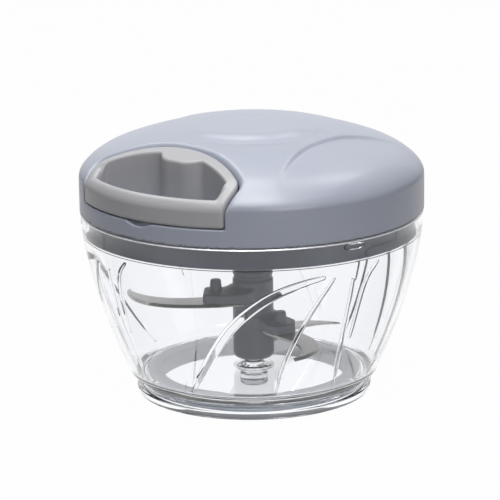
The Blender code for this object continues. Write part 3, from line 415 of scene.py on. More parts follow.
def clearPlastic(name, colour, shadow, roughness, frostAndHighlight, frostAndHighlightLow, frostAndHighlightHigh):
    # clear moulded plastic: shadow rays pass, so that what is inside is lit; the rim's edge is frosted and milky
    # white, which also paints the rim's highlight line
    finish = Finish(name)
    height = finish.add("ShaderNodeSeparateXYZ", [finish.place], output="Z")
    # the strip at the rim's edge that is frosted and carries a painted highlight
    mask = finish.eased(height, frostAndHighlightLow, frostAndHighlightHigh)
    finish.surface(
        Base_Color=screenColour(*colour), Roughness=finish.noise(55, 3) * 0.02 + mask * 0.4 + roughness,
        Normal=finish.bumped(0.04, 0.001, finish.noise(30, 1)), IOR=1.5, Transmission_Weight=1,
    )
    # a milky white metal-like sheen on the rim's edge: painted highlight standing in for the rim's bright line, partly
    # real frost
    milkyHighlight = finish.add("ShaderNodeBsdfPrincipled", {
        "Base Color": (0.92, 0.93, 0.95, 1), "Metallic": 1, "Roughness": 0.35}, output="BSDF")
    highlightedEdge = finish.mixed(mask * frostAndHighlight, Wire(finish, finish.shader.outputs[0]), milkyHighlight)
    passing = finish.add("ShaderNodeBsdfTransparent", {"Color": screenColour(*shadow)})
    return finish.show(finish.mixed(finish.add("ShaderNodeLightPath", output="Is Shadow Ray"), highlightedEdge, passing))


def brushedSteel(name, colour, roughness, turn, stretch):
    # ground steel: fine scratches along one direction and a faint cloud
    finish = Finish(name)
    along = finish.add("ShaderNodeMapping", {
        "Vector": finish.place, "Rotation": (0, 0, radians(turn)), "Scale": stretch})
    scratch, cloud = finish.noise(900, 4, Vector=along), finish.noise(120, 2)
    return finish.surface(
        Base_Color=finish.tinted(scratch * 0.5 + cloud * 0.5, colour, 0.85), Metallic=1,
        Roughness=scratch * 0.15 + cloud * 0.08 + (roughness - 0.1), Normal=finish.bumped(0.15, 0.0001, scratch),
    )


def braidedCord(name, colour, strandScale):
    finish = Finish(name)
    strands = finish.add("ShaderNodeTexWave", {
        "Vector": finish.place, "Scale": strandScale, "Distortion": 1.5, "Detail": 2,
    }, output="Fac", wave_type="BANDS", bands_direction="DIAGONAL")
    return finish.surface(
        Base_Color=finish.tinted(strands * 0.6 + finish.noise(2500, 3) * 0.4, colour, 0.7), Roughness=0.85,
        Normal=finish.bumped(0.5, 0.0002, strands),
    )


finishKinds = {
    mouldedPlastic: {
        # name, screen colour, specular level, roughness, scale and strength of the grain
        "lid_plastic": ("lidPlastic", (153, 158, 172), 0.8, 0.36, 5200, 0.12),
        "handle_plastic": ("handlePlastic", (164, 164, 167), 0.5, 0.34, 5200, 0.08),
        "slate_plastic": ("slatePlastic", (80, 85, 96), 0.5, 0.4, 4200, 0.12),
        "ring_rubber": ("footRubber", (172, 174, 179), 0.5, 0.55, 3000, 0.25),
        "seal_silicone": ("sealSilicone", (205, 208, 212), 0.5, 0.45, 3000, 0.1),
        "white_acetal": ("whiteAcetal", (232, 232, 228), 0.5, 0.42, 5200, 0.1),
    },
    clearPlastic: {
        # name, screen colour, colour of its shadow, roughness, strength of the frost and painted rim highlight,
        # heights between which it sets in
        "clear_plastic": ("clearPlastic", (250, 251, 253), (243, 245, 248), 0.01, 0.85, 0.0671, 0.0675),
    },
    brushedSteel: {
        # name, screen colour, roughness, turn and stretch of the scratches
        "blade_steel": ("bladeSteel", (190, 187, 184), 0.32, 20, (0.15, 1, 1)),
        "bright_steel": ("brightSteel", (205, 205, 208), 0.3, 0, (1, 1, 0.2)),
        "spring_steel": ("springSteel", (130, 134, 142), 0.35, 0, (1, 1, 0.1)),
    },
    braidedCord: {"cord_fibre": ("cordFibre", (232, 232, 228), 260)},
}
finishes = {slotName: make(*row) for make, rows in finishKinds.items() for slotName, row in rows.items()}


def painted(piece, slotName):
    piece.data.materials.clear()
    piece.data.materials.append(finishes[slotName])


def dressed(piece, slotName, body, *nodes):
    painted(piece, slotName)
    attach(piece, body)
    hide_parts(*nodes)
    print(f"{piece.name} made: {len(piece.data.polygons)} faces")


for entry in frame["record"]["subparts"]:
    painted(frame["nodes"][entry["node"]], entry["material_slot"])
print("finishes made")


bowlSettings = Settings(
    # outlines in mm: radius and height
    spike=[(0, 29), (1.3, 28.6), (2.3, 27.2), (2.6, 25.6), (2.6, 12.4), (2.7, 11.7), (3, 10.9), (3.4, 10.3),
           (4.1, 9.8), (5.1, 9.4), (6.2, 9.1), (7.2, 9)],
    neck=[(44, 6.9), (42.7, 5.8), (41.8, 5.1), (41.2, 4.5), (41, 4), (41.1, 3.5), (41.6, 3.1), (42.4, 2.9),
          (42.8, 2.7), (43, 2.4), (43, 0.8), (42.7, 0.4), (42.1, 0.3)],
    foot=[(41.4, 0.3), (41, 0.7), (41, 2.9), (39.5, 4.4), (39.5, 7), (7.4, 7), (7.2, 6.6), (6.8, 6.6), (6.6, 7)],
    stub=[(3.4, 7), (2.9, 6.7), (2.8, 5.2), (3.2, 4.7), (4.6, 4.5), (5, 4.1), (5.1, 0.8), (4.8, 0.4), (0, 0.4)],
    wallStart=0.008, wallStartRadius=0.0454, rimRadius=0.06235, flare=1.6,
    wall=0.0021, rimWall=0.00235, rimEdge=0.0004, floorCorner=0.0018, steps=480, rows=48,
)


def bowlRadius(height):
    s = bowlSettings
    share = min(max((height - s.wallStart) / (shared.bowlHeight - s.wallStart), 0), 1)
    return s.wallStartRadius + (1 - (1 - share) ** s.flare) * (s.rimRadius - s.wallStartRadius)


def bowlInside(height):
    return bowlRadius(height) - bowlSettings.wall


def bowlOutline():
    s = bowlSettings
    floor, top, edge = shared.floorTop, shared.bowlHeight, s.rimEdge
    low, seat = floor + s.floorCorner, shared.skirtBottom - shared.clearance
    corner = bowlInside(low)
    inside = [(corner - s.floorCorner, floor), (corner - 0.0007, floor + 0.0004), (corner - 0.0002, floor + 0.001)]
    inside += [(bowlInside(h), h) for h in (low + (seat - low) * i / s.rows for i in range(s.rows + 1))]
    rim = s.rimRadius - s.rimWall
    inside += [(rim - 0.0001, seat + 0.0003), (rim, seat + 0.0008), (rim, top - edge), (rim + edge, top)]
    outside = [(s.rimRadius - edge, top), (s.rimRadius, top - edge)]
    outside += [(bowlRadius(h), h) for h in np.linspace(top - 0.0015, s.wallStart, 36)]
    return fromMm(s.spike) + inside + outside + fromMm(s.neck + s.foot + s.stub)


ribSettings = Settings(
    # degrees round the bowl and height in mm along each rib, its width in mm, its width share at the ends
    bowlSweeps=Settings(
        lines=[
            ([(-118.5, 10.4), (-112, 18.2), (-105, 28.4), (-98, 37.9), (-91, 44.6), (-83, 50.4), (-74, 53.8),
              (-65, 55.6)], 5.2, 0.16),
        ],
        height=0.34, crest=0.42, rounding=0.07, mostRise=0.001, riseShare=0.2,
    ),
    bowlRibs=Settings(
        lines=[
            ([(-80.5, 10.4), (-78, 23.6), (-73, 35.6), (-68, 45.1), (-61.5, 55)], 2.6, 0.3),
            ([(-52, 10.4), (-54, 23), (-54.6, 38), (-54, 53.5)], 2.5, 0.75),
            ([(-50.4, 30), (-49.8, 43.9), (-48, 53), (-43, 58.3)], 2.5, 0.25),
        ],
        height=0.58, crest=0.4, rounding=0.12, mostRise=0.001, riseShare=0.35,
    ),
    setTurns=(0, 91.5, 171, -94.5), rounds=3,
    # how far a rib stands proud of the wall below the lower blade's top, and how much more it may above
    leastRise=0.0002, bladeTop=0.0154, riseSlope=0.3,
)


def ribCarrier(kind):
    # the middle lines of one kind of rib, set into the wall so that each stands proud by its rise
    s, every = ribSettings[kind], ribSettings
    points, edges, widths = [], [], []
    for setTurn in every.setTurns:
        for line, width, endShare in s.lines:
            line = smoothRow(line, every.rounds)
            first = len(points)
            for i, (turn, height) in enumerate(line):
                swell = sin(pi * i / (len(line) - 1)) ** 0.6
                here = width / 1000 * (endShare + (1 - endShare) * swell)
                z = height / 1000
                clear = every.leastRise + max(z - every.bladeTop, 0) * every.riseSlope
                rise = min(s.mostRise, s.riseShare * here, clear)
                points.append(polar(bowlInside(z) + s.height * here - rise, radians(turn + setTurn), z))
                widths.append(here)
            edges += [(i, i + 1) for i in range(first, len(points) - 1)]
    return meshPiece(kind + "Lines", points, edges=edges, ribWidth=widths)


def growRibs(kind):
    # sweeps a softened ridge along every line, as wide as the line says at each point
    s = ribSettings[kind]
    growth = Growth(kind, Height=s.height, Crest=s.crest, Rounding=s.rounding)
    lines = growth.add("GeometryNodeMeshToCurve", [growth.given()])
    place = growth.add("GeometryNodeInputPosition")
    flat = growth.add("ShaderNodeVectorMath", [place, (-1, -1, 0)], operation="MULTIPLY")
    inward = growth.add("ShaderNodeVectorMath", [flat], operation="NORMALIZE")
    faced = growth.add("GeometryNodeSetCurveNormal", {"Curve": lines, "Normal": inward}, mode="FREE")
    height = growth.given("Height")
    ridge = growth.add("GeometryNodeCurvePrimitiveQuadrilateral", {
        "Bottom Width": 1, "Top Width": growth.given("Crest"), "Height": height, "Offset": 0}, mode="TRAPEZOID")
    lift = growth.add("ShaderNodeCombineXYZ", {"X": height * 0.5})
    turnedUp = growth.add("GeometryNodeTransform", {
        "Geometry": ridge, "Translation": lift, "Rotation": (0, 0, radians(-90))})
    soft = growth.add("GeometryNodeFilletCurve", {
        "Curve": turnedUp, "Radius": growth.given("Rounding"), "Count": 4}, mode="POLY")
    ribs = growth.add("GeometryNodeCurveToMesh", {
        "Curve": faced, "Profile Curve": soft, "Scale": growth.named("ribWidth"), "Fill Caps": True})
    return recalculated(growth.grow(ribs, "clear_plastic", ribCarrier(kind)))


def wallPads(name, s):
    # rounded pads that lie along the wall, one at each bump of the rim
    points, faces = [], []
    for turn in shared.bumpTurns:
        faces += bandFaces(len(points), s.steps, s.rows + 1)
        for t in (pi * i / s.rows for i in range(s.rows + 1)):
            for a in (tau * j / s.steps for j in range(s.steps)):
                radius = s.radius + s.radii[0] * sin(t) * cos(a)
                around = radians(turn) + s.radii[1] * sin(t) * sin(a) / s.radius
                points.append(polar(radius, around, s.height + s.radii[2] * cos(t)))
    return recalculated(meshPiece(name, points, faces))


padSettings = Settings(
    bumps=Settings(radius=0.06, height=0.0655, radii=(0.0012, 0.0047, 0.0014), rows=10, steps=24),
    dimples=Settings(radius=0.06322, height=0.065, radii=(0.0012, 0.0058, 0.0036), rows=20, steps=48),
)
bowl = turned("bowlShell", bowlOutline(), bowlSettings.steps, sharpAngle=50)
print("bowl turned:", len(bowl.data.polygons), "faces")
combined(bowl, "UNION", growRibs("bowlSweeps"), growRibs("bowlRibs"), wallPads("rimBumps", padSettings.bumps))
combined(bowl, "DIFFERENCE", wallPads("rimDimples", padSettings.dimples))
shaded(bowl, 38)
dressed(bowl, "clear_plastic", "bowl", "bowl")


footSettings = Settings(
    outline=[(34.9, 0), (38.8, 0), (40.7, 1.8), (40.7, 2.6), (39.1, 4.2), (39.1, 6.7), (33.7, 6.7), (33.7, 1.2)],
    rounding=0.0006,
)
footRing = turned("footRing", softened(fromMm(footSettings.outline), footSettings.rounding))
dressed(footRing, "ring_rubber", "bowl", "non_slip_ring")


lidSettings = Settings(
    # shares of the radius and of the rise
    dome=[(1, -0.04), (0.998, 0.015), (0.989, 0.085), (0.968, 0.18), (0.932, 0.295), (0.885, 0.408),
          (0.832, 0.503), (0.736, 0.63), (0.61, 0.77), (0.5, 0.862), (0.43, 0.9), (0.405, 0.914), (0.382, 0.946),
          (0.362, 0.972), (0.335, 0.986), (0.2, 0.995), (0, 1)],
    wall=0.0022, wallFollows=0.7,  # share of the dips that the wall's inner face follows
    # roundings: round the pocket, inside the wall, on the pocket's floor, round the finger notch
    edge=0.0008, hollowRound=0.0004, pocketRound=0.001, notchRound=0.0005,
    dipDepth=0.0018, dipStart=0.006, dipWidth=0.003,
    scoopDepths=(0.0014, 0.0006, 0.0006), scoopFade=0.022, scoopEdge=0.0019, scoopRound=0.3,
    scoopShift=0.0009, scoopReach=(0.034, 0.0395),
    padEven=[(0, 0), (0.2, 0.005), (0.3, 0.02), (0.335, 0.031), (0.362, 0.029), (0.382, 0.013),
             (0.405, -0.007), (0.43, -0.007), (0.5, 0)],
    padDip=0.001, padEdge=0.0282, padRise=0.0062, padFade=0.01, padTurn=-87, padAhead=(0.35, 0.5),
    notchRadii=(0.0056, 0.0078, 0.0056), notchLift=0.004,
    housingRing=(0.0254, 0.001, 0.085775),  # radius, half its width, lower end
    axleBoss=(0.0042, 0.093175), axleBore=(0.00205, 0.096175), screwPost=0.0036, screwBore=(0.0016, 0.0766),
    cordHole=0.0029, pocketWall=(0.034, 0.006),
    cell=0.00078, box=((-0.0645, -0.0645, 0.0665), (0.0645, 0.0645, 0.1015)),
)
bay = Settings(halfWidth=0.033, back=0.0343, backRadius=0.06, corner=0.005, shift=-0.0012)
scoopBay = Settings(halfWidth=0.047, back=0.0333, backRadius=0.0768, corner=0.004)


def domeField(drop=0, inset=0, bottom=shared.lidEdge):
    # the lid's turned form over radius and height
    edge = shared.lidRadius - inset
    line = [(edge, shared.lidEdge + 0.004)]
    line += [(r * edge, shared.shoulder + z * shared.domeRise - drop) for r, z in lidSettings.dome]
    line = smoothRow(line)
    top = line[-1][1]
    return OutlineField([(edge, bottom)] + line + [(-0.012, top), (-0.012, bottom)])


def bayOutline(shape, inset=0, mouth=0.07):
    halfWidth = shape.halfWidth - inset
    corner = max(shape.corner - inset, 0.0004)
    radius = shape.backRadius - inset
    middle = shape.back + shape.backRadius
    sideCentre = halfWidth - corner
    reach = sqrt((radius - corner) ** 2 - sideCentre ** 2)
    cornerCentre = middle - reach
    lean = atan2(sideCentre, reach)
    upper = [(cornerCentre + corner * cos(a), sideCentre + corner * sin(a))
             for a in np.linspace(pi / 2, pi - lean, 10)]
    bow = [(middle + radius * cos(a), radius * sin(a)) for a in np.linspace(pi - lean, pi + lean, 60)[1:-1]]
    lower = [(x, -y) for x, y in reversed(upper)]
    return [(mouth, halfWidth)] + upper + bow + lower + [(mouth, -halfWidth)]


def turnedAxes(x, y, degrees=shared.handleTurn):
    # how far a place is along and across a direction
    a = radians(degrees)
    return x * cos(a) + y * sin(a), y * cos(a) - x * sin(a)


def screwSpots():
    return [polar(shared.screwCircle, radians(shared.handleTurn + turn)) for turn in shared.screwTurns]


def lidField():
    s = lidSettings
    outer = domeField()
    cavity = domeField(drop=s.wall, inset=s.wall, bottom=shared.lidEdge - 0.006)
    bayPlan, bayShell = OutlineField(bayOutline(bay)), OutlineField(bayOutline(bay, inset=-s.wall))
    scoopPlan = OutlineField(bayOutline(scoopBay))
    seat = shared.plateTop + shared.clearance

    def crescents(x, y):
        dip = 0
        for quarter, depth in enumerate(s.scoopDepths, 1):
            v, u = turnedAxes(x, y, shared.handleTurn + 90 * quarter)
            u = u - s.scoopShift
            inBay = -scoopPlan(v, u) / s.scoopEdge
            inBay = 1 + (inBay - np.sqrt(inBay * inBay + s.scoopRound ** 2)) / 2
            fade = clipped((scoopBay.back + s.scoopFade - v) / s.scoopFade)
            reach = np.where(u > 0, *s.scoopReach)
            dip = dip + depth * clipped(inBay) ** 2 * fade * clipped(1 - (u / reach) ** 4)
        return dip

    def raisedCentre(x, y, r):
        # full in front, where its step stands clear, and evened out behind
        ahead = turnedAxes(x, y, s.padTurn)[0] / both(r, 1e-6)
        ahead = smooth(clipped((ahead - s.padAhead[0]) / s.padAhead[1]))
        even = np.interp(r / shared.lidRadius, *zip(*s.padEven)) * shared.domeRise
        inner = clipped((r - s.padEdge + s.padRise) / s.padRise)
        away = clipped(1 - (r - s.padEdge) / s.padFade)
        return (1 - ahead) * even + s.padDip * ahead * inner ** 1.5 * away * away

    def field(x, y, z):
        r = np.hypot(x, y)
        v, u = turnedAxes(x, y)
        w = u - bay.shift
        dip = crescents(x, y) + raisedCentre(x, y, r)
        dip = dip + s.dipDepth * clipped(1 - np.abs(bayPlan(v, w)) / s.dipWidth) ** 3
        dip = dip * clipped((z - shared.lidEdge) / s.dipStart)  # the lower edge stays level
        keep = both(bayShell(v, w), seat - z)
        radius, half, low = s.housingRing
        keep = either(keep, both(np.abs(r - radius) - half, low - z))
        keep = either(keep, both(r - s.axleBoss[0], s.axleBoss[1] - z))
        hole = both(np.hypot(u, z - shared.cordHeight) - s.cordHole, np.abs(v - s.pocketWall[0]) - s.pocketWall[1])
        hole = either(hole, both(r - s.axleBore[0], z - s.axleBore[1]))
        for sx, sy in screwSpots():
            post = np.hypot(x - sx, y - sy)
            keep = either(keep, both(post - s.screwPost, seat - z))
            hole = either(hole, both(post - s.screwBore[0], z - s.screwBore[1]))
        hollow = both(cavity(r, z + dip * s.wallFollows), -keep)
        shell = softMax(outer(r, z + dip), -hollow, s.hollowRound)
        pocket = softMax(bayPlan(v, w), shared.pocketFloor - z, s.pocketRound)
        shell = softMax(shell, -pocket, s.edge)
        a, b, c = s.notchRadii
        rise = z - shared.pocketFloor - s.notchLift
        notch = np.sqrt(((v - shared.lidRadius) / a) ** 2 + (u / b) ** 2 + (rise / c) ** 2)
        return both(softMax(shell, (1 - notch) * a, s.notchRound), -hole)

    return field


dressed(fieldPiece("lidCover", lidField(), lidSettings), "lid_plastic", "lid", "lid_cover")


handleSettings = Settings(
    gap=0.0005, drop=0.0006, frontWall=0.0042, sideWall=0.0048, backWall=0.0044,
    openingCorner=0.0012, bossHalfWidth=0.0098, bossFront=0.044, bossCorner=0.0072,
    bossMiddle=0.0014, bossFillet=0.0018, gapRound=0.0008, backRound=0.001, openingRound=0.001,
    bottomRound=0.001, frontRound=0.0034, frontFrom=0.0545, frontFade=0.002, knotBore=0.003, cordWay=0.00135,
    cell=0.00042, box=((-0.064, -0.064, 0.0735), (0.006, 0, 0.0965)),
)


def handleField():
    s = handleSettings
    outer = OutlineField(bayOutline(bay, inset=s.gap))
    crown = domeField(drop=s.drop)
    opening = OutlineField(bayOutline(Settings(
        bay, halfWidth=bay.halfWidth - s.gap - s.sideWall, corner=s.openingCorner, back=bay.back + s.gap + s.backWall,
    )))
    bottom = shared.pocketFloor + shared.clearance

    def field(x, y, z):
        r = np.hypot(x, y)
        v, u = turnedAxes(x, y)
        w = u - bay.shift
        body = softMax(outer(v, w), crown(r, z), s.backRound)
        body = softMax(body, bottom - z, s.bottomRound)
        gap = softMax(opening(v, w), r - (shared.lidRadius - s.frontWall), s.gapRound)
        across = both(np.abs(u - s.bossMiddle) - s.bossHalfWidth + s.bossCorner, 0)
        along = both(v - s.bossFront + s.bossCorner, 0)
        gap = softMax(gap, s.bossCorner - np.hypot(across, along), s.bossFillet)
        front = clipped((r - s.frontFrom) / s.frontFade)
        body = softMax(body, -gap, s.openingRound + (s.frontRound - s.openingRound) * front)
        bore = both(np.hypot(v - shared.knotV, u) - s.knotBore, z - shared.cordHeight - s.knotBore)
        way = both(np.hypot(u, z - shared.cordHeight) - s.cordWay, v - shared.knotV)
        return both(body, -either(bore, way))

    return field


dressed(fieldPiece("pullHandle", handleField(), handleSettings), "handle_plastic", "pull_handle", "pull_handle")


def rod(name, place, radius, low, high, steps=32):
    around = [(place[0] + x, place[1] + y) for x, y in (polar(radius, tau * i / steps) for i in range(steps))]
    return prism(name, (low, around), (high, around))


def repeatedShape(name, shape, places, slotName):
    # copies one shape to every (x, y, z, turn) place with Geometry Nodes
    growth = Growth(name, Shape=shape)
    held = growth.add("GeometryNodeObjectInfo", {"Object": growth.given("Shape")}, output="Geometry")
    spin = growth.add("ShaderNodeCombineXYZ", {"Z": growth.named("turn")})
    copies = growth.add("GeometryNodeInstanceOnPoints", {
        "Points": growth.given(), "Instance": held, "Rotation": spin})
    carrier = meshPiece(name + "Places", [p[:3] for p in places], turn=[radians(p[3]) for p in places])
    grown = growth.grow(copies, slotName, carrier)
    bpy.data.objects.remove(shape)
    return grown


def sweptCord(name, points, radius, sides=16, closed=False):
    # sweeps a round cord along the points with Geometry Nodes
    count = len(points)
    edges = [(i, (i + 1) % count) for i in range(count if closed else count - 1)]
    growth = Growth(name, Radius=radius, Sides=sides)
    line = growth.add("GeometryNodeMeshToCurve", [growth.given()])
    ring = growth.add("GeometryNodeCurvePrimitiveCircle", {
        "Resolution": growth.given("Sides"), "Radius": growth.given("Radius")})
    tube = growth.add("GeometryNodeCurveToMesh", {"Curve": line, "Profile Curve": ring, "Fill Caps": True})
    return shaded(growth.grow(tube, "cord_fibre", meshPiece(name + "Line", points, edges=edges)), 60)


baseSettings = Settings(
    hole=0.0111, skirtInner=0.0562, grooveRadius=0.0575, grooveLow=0.0669, grooveHigh=0.0686,
    flange=0.06, screwHole=0.0016, rounding=0.0004,
    lipLow=0.0602, lipInner=0.0579, lipOuter=0.059525, lipTop=0.0637, lipRamp=0.0009,
    stopTop=0.0662, lipFrom=5.99, lipTo=21.49, stopSlope=0.3, stopTo=23.29,
    lipSteps=40, lipRounding=0.00035, endInset=0.0003,
)


def baseOutline():
    s = baseSettings
    low, high = shared.plateBottom, shared.plateTop
    skirt = shared.skirtRadius
    return softened([
        (s.hole, low), (s.skirtInner, low), (s.skirtInner, shared.skirtBottom),
        (skirt, shared.skirtBottom), (skirt, s.grooveLow), (s.grooveRadius, s.grooveLow),
        (s.grooveRadius, s.grooveHigh), (s.flange, s.grooveHigh), (s.flange, high), (s.hole, high),
    ], s.rounding)


def bayonetLips():
    # each lip rises under its bump and ends in a stop that stands up beside it
    s = baseSettings
    spots = [(s.lipFrom + (s.lipTo - s.lipFrom) * share, s.lipTop - s.lipRamp * (1 - smooth(min(share * 4, 1))), 0)
             for share in (i / s.lipSteps for i in range(s.lipSteps + 1))]
    spots[0] = (*spots[0][:2], s.endInset)
    spots += [(s.lipTo + s.stopSlope * share * 2, s.lipTop + (s.stopTop - s.lipTop) * smooth(share), 0)
              for share in (0.25, 0.5, 0.75, 1)]
    spots += [(s.stopTo - 0.25, s.stopTop, 0), (s.stopTo, s.stopTop - 0.0002, s.endInset)]
    points, faces = [], []
    for bump in shared.bumpTurns:
        first = len(points)
        for turn, top, inset in spots:
            outer, low = s.lipOuter - inset, s.lipLow + inset
            ring = softened([(s.lipInner, low), (outer, low), (outer, top), (s.lipInner, top)],
                            s.lipRounding, steps=3)
            points += [polar(r, radians(bump + turn), z) for r, z in ring]
        faces += bandFaces(first, len(ring), len(spots), capped=True)
    return recalculated(meshPiece("bayonetLips", points, faces))


lidBase = turned("lidBase", baseOutline(), 288)
combined(lidBase, "UNION", bayonetLips())
combined(lidBase, "DIFFERENCE", *[rod("baseHole", spot, baseSettings.screwHole, 0.06, 0.075) for spot in screwSpots()])
shaded(lidBase, 35)
dressed(lidBase, "slate_plastic", "lid", "lid_base")
sealSettings = Settings(outline=[(57.8, 67), (59.6, 67), (59.6, 67.65), (57.8, 68.3)], rounding=0.0003)
sealRing = turned("sealRing", softened(fromMm(sealSettings.outline), sealSettings.rounding), 288)
dressed(sealRing, "seal_silicone", "seal", "seal_ring")


screwSettings = Settings(
    headTop=0.0675, headHeight=0.0019, headRadius=0.0029, radius=0.0013, tip=0.0763,
    crossLength=0.0032, crossWidth=0.0007, crossDepth=0.0011, taper=0.0012, point=0.0004,
    head=[(0, 0), (1.4, 0.05), (2.2, 0.3), (2.7, 0.9)],  # outline in mm above its lowest point
)


def lidScrew():
    s = screwSettings
    low = s.headTop - s.headHeight
    screw = turned("lidScrew", [(r, low + z) for r, z in fromMm(s.head)] + [
        (s.headRadius, s.headTop - 0.0002), (s.headRadius - 0.0001, s.headTop),
        (s.radius, s.headTop), (s.radius, s.tip - s.taper), (s.point, s.tip), (0, s.tip),
    ], 40)
    half, thin = s.crossLength / 2, s.crossWidth / 2
    plus = [(half, -thin), (half, thin), (thin, thin)]
    for _ in range(3):
        plus += [(-y, x) for x, y in plus[-3:]]
    cross = prism("screwCross", (low - 0.001, plus), (low + s.crossDepth, plus))
    return shaded(combined(screw, "DIFFERENCE", cross), 35)


screwPlaces = [(x, y, 0, 20 + 35 * i) for i, (x, y) in enumerate(screwSpots())]
lidScrews = repeatedShape("lidScrews", lidScrew(), screwPlaces, "bright_steel")
dressed(lidScrews, "bright_steel", "lid", "lid_screw_1", "lid_screw_2", "lid_screw_3", "lid_screw_4")


couplerSettings = Settings(
    # outlines in mm
    plug=[(0, 66.4), (8, 66.4), (8.5, 66.9), (8.5, 70.9), (11.2, 70.9), (11.5, 71.1), (11.5, 71.4), (11.3, 71.6),
          (0, 71.6)],
    spigot=[(0, 66.7), (6.93, 66.7), (6.93, 75.6), (6.5, 76), (0, 76)],
    stub=[(0, 50), (4, 50), (4.62, 50.6), (4.62, 71.3), (0, 71.3)],
)
coupler = turned("driveCoupler", fromMm(couplerSettings.plug), 96)
combined(coupler, "UNION", *[turned(name, fromMm(couplerSettings[name]), 6) for name in ("spigot", "stub")])
shaded(coupler, 35)
dressed(coupler, "slate_plastic", "drive", "drive_coupler")


bladeSettings = Settings(
    # height of each blade's middle, where it points in degrees, and its reach
    blades=Settings(
        upper=Settings(height=0.0332, turn=178, reach=0.0485),
        middle=Settings(height=0.023, turn=-57, reach=0.0449),
        lower=Settings(height=0.0146, turn=58, reach=0.0449),
    ),
    thickness=0.001, edgeThickness=0.0002, rootRadius=0.00776, rootAngles=(66, -10), bevel=(0.975, 0.87),
    pinPlace=(0.0135, 0.003), pinHole=0.0018,
    pin=[(0, -1.5), (2.4, -1.5), (2.6, -1.3), (2.6, -0.8), (1.5, -0.8), (1.5, 4.5), (2.25, 4.5), (2.3, 4.6),
         (1.95, 8), (1.7, 8.3), (0, 8.3)],  # outline in mm
    # edges as shares of the reach
    leading=[(0.24, 0.2), (0.32, 0.208), (0.42, 0.214), (0.54, 0.212), (0.66, 0.195), (0.76, 0.15), (0.84, 0.092),
             (0.9, 0.02), (0.94, -0.06), (0.972, -0.15), (0.985, -0.262)],
    trailing=[(0.945, -0.205), (0.897, -0.144), (0.83, -0.085), (0.76, -0.045), (0.65, -0.008), (0.52, 0),
              (0.38, -0.025)],
)
shaftSettings = Settings(
    low=0.0118, high=0.0661, radius=0.00746, neckRadius=0.007, neck=0.0415,
    collarRadius=0.0074, collar=(0.0432, 0.0449), bottomRound=0.0022, neckRound=0.0007,
    bore=0.00295, boreTop=0.03, socket=0.0043, socketLow=0.0497,
    armReach=0.018, armLeading=0.0095, armTrailing=0.0025, armCorner=0.002, armHeight=0.0034,
    armGap=0.0003, armRise=0.0017, armRiseFrom=0.0113, armFillet=0.003, armRound=0.0008,
    neckBlend=0.0005, collarBlend=0.0004, topRound=0.0006, boreRound=0.0006,
    armSink=0.0004, armUnder=0.0004, armBlend=0.0005, pinBore=(0.002, 0.009),
    cell=0.00045, box=((-0.0195, -0.0175, 0.0105), (0.015, 0.018, 0.0675)),
)


def shaftField():
    s = shaftSettings
    b = bladeSettings

    def field(x, y, z):
        r = np.hypot(x, y)
        column = softMax(r - s.radius, z - s.neck, s.neckRound)
        column = softMin(column, r - s.neckRadius, s.neckBlend)
        ring = both(r - s.collarRadius, both(s.collar[0] - z, z - s.collar[1]))
        column = softMin(column, ring, s.collarBlend)
        column = softMax(column, s.low - z, s.bottomRound)
        shape = softMax(column, z - s.high, s.topRound)
        for blade in b.blades.values():
            a, c = turnedAxes(x, y, blade.turn)
            low = blade.height + b.thickness / 2 + s.armGap
            inA = np.abs(a - s.armReach / 2) - s.armReach / 2
            inC = np.abs(c - (s.armLeading - s.armTrailing) / 2) - (s.armLeading + s.armTrailing) / 2
            corner = s.armCorner
            plan = np.hypot(both(inA + corner, 0), both(inC + corner, 0)) - corner
            plan = both(plan, both(inA, inC))
            plan = softMin(plan, r - s.radius + s.armSink, s.armFillet)
            rise = np.clip((s.armRiseFrom - r) / (s.armRiseFrom - s.radius), 0, 1.6)
            top = z - low - s.armHeight - s.armRise * rise ** 1.4
            arm = softMax(softMax(plan, top, s.armRound), low - z, s.armUnder)
            shape = softMin(shape, arm, s.armBlend)
            hole = np.hypot(a - b.pinPlace[0], c - b.pinPlace[1]) - b.pinHole
            shape = both(shape, -both(hole, both(low - s.pinBore[0] - z, z - low - s.pinBore[1])))
        bore = softMax(r - s.bore, z - s.boreTop, s.boreRound)
        socket = np.abs(y)
        for turn in (60, 120):
            socket = both(socket, np.abs(turnedAxes(x, y, turn)[1]))
        socket = both(socket - s.socket, s.socketLow - z)
        return both(shape, -either(bore, socket))

    return field


dressed(fieldPiece("bladeShaft", shaftField(), shaftSettings), "slate_plastic", "blade_unit", "blade_shaft")


def bladePiece(name, blade):
    # a thin swept blade with its leading edge ground on the upper side
    s = bladeSettings
    lead, trail = [smoothRow([(x * blade.reach, y * blade.reach) for x, y in row]) for row in (s.leading, s.trailing)]
    first, last = (radians(a) for a in s.rootAngles)
    root = [polar(s.rootRadius, a) for a in np.linspace(last, first, 24)]
    rest = trail + root
    ground = [(x * s.bevel[0], y * s.bevel[1] if y > 0 else y) for x, y in lead]
    low = blade.height - s.thickness / 2
    edge, high = low + s.edgeThickness, blade.height + s.thickness / 2
    steel = prism("blade" + name.capitalize(), (low, lead + rest), (edge, lead + rest), (high, ground + rest))
    combined(steel, "DIFFERENCE", rod("bladeHole", s.pinPlace, s.pinHole, low - 0.002, high + 0.002))
    steel.data.transform(Matrix.Rotation(radians(blade.turn), 4, "Z"))
    shaded(steel, 12)
    dressed(steel, "blade_steel", "blade_unit", "blade_" + name)


def placed(v, u, z, turn=shared.handleTurn):
    # the place of a point that is given along and across a direction
    a = radians(turn)
    return Vector((v * cos(a) - u * sin(a), v * sin(a) + u * cos(a), z))


def bladePins():
    # a foot under each blade, a stem through its arm and a tapered peg on top
    s = bladeSettings
    pin = shaded(turned("bladePin", fromMm(s.pin), 40), 35)
    places = [(*placed(*s.pinPlace, blade.height, blade.turn), blade.turn) for blade in s.blades.values()]
    pins = repeatedShape("bladePins", pin, places, "slate_plastic")
    dressed(pins, "slate_plastic", "blade_unit", "blade_pin_upper", "blade_pin_middle", "blade_pin_lower")


for entry in bladeSettings.blades.items():
    bladePiece(*entry)
bladePins()


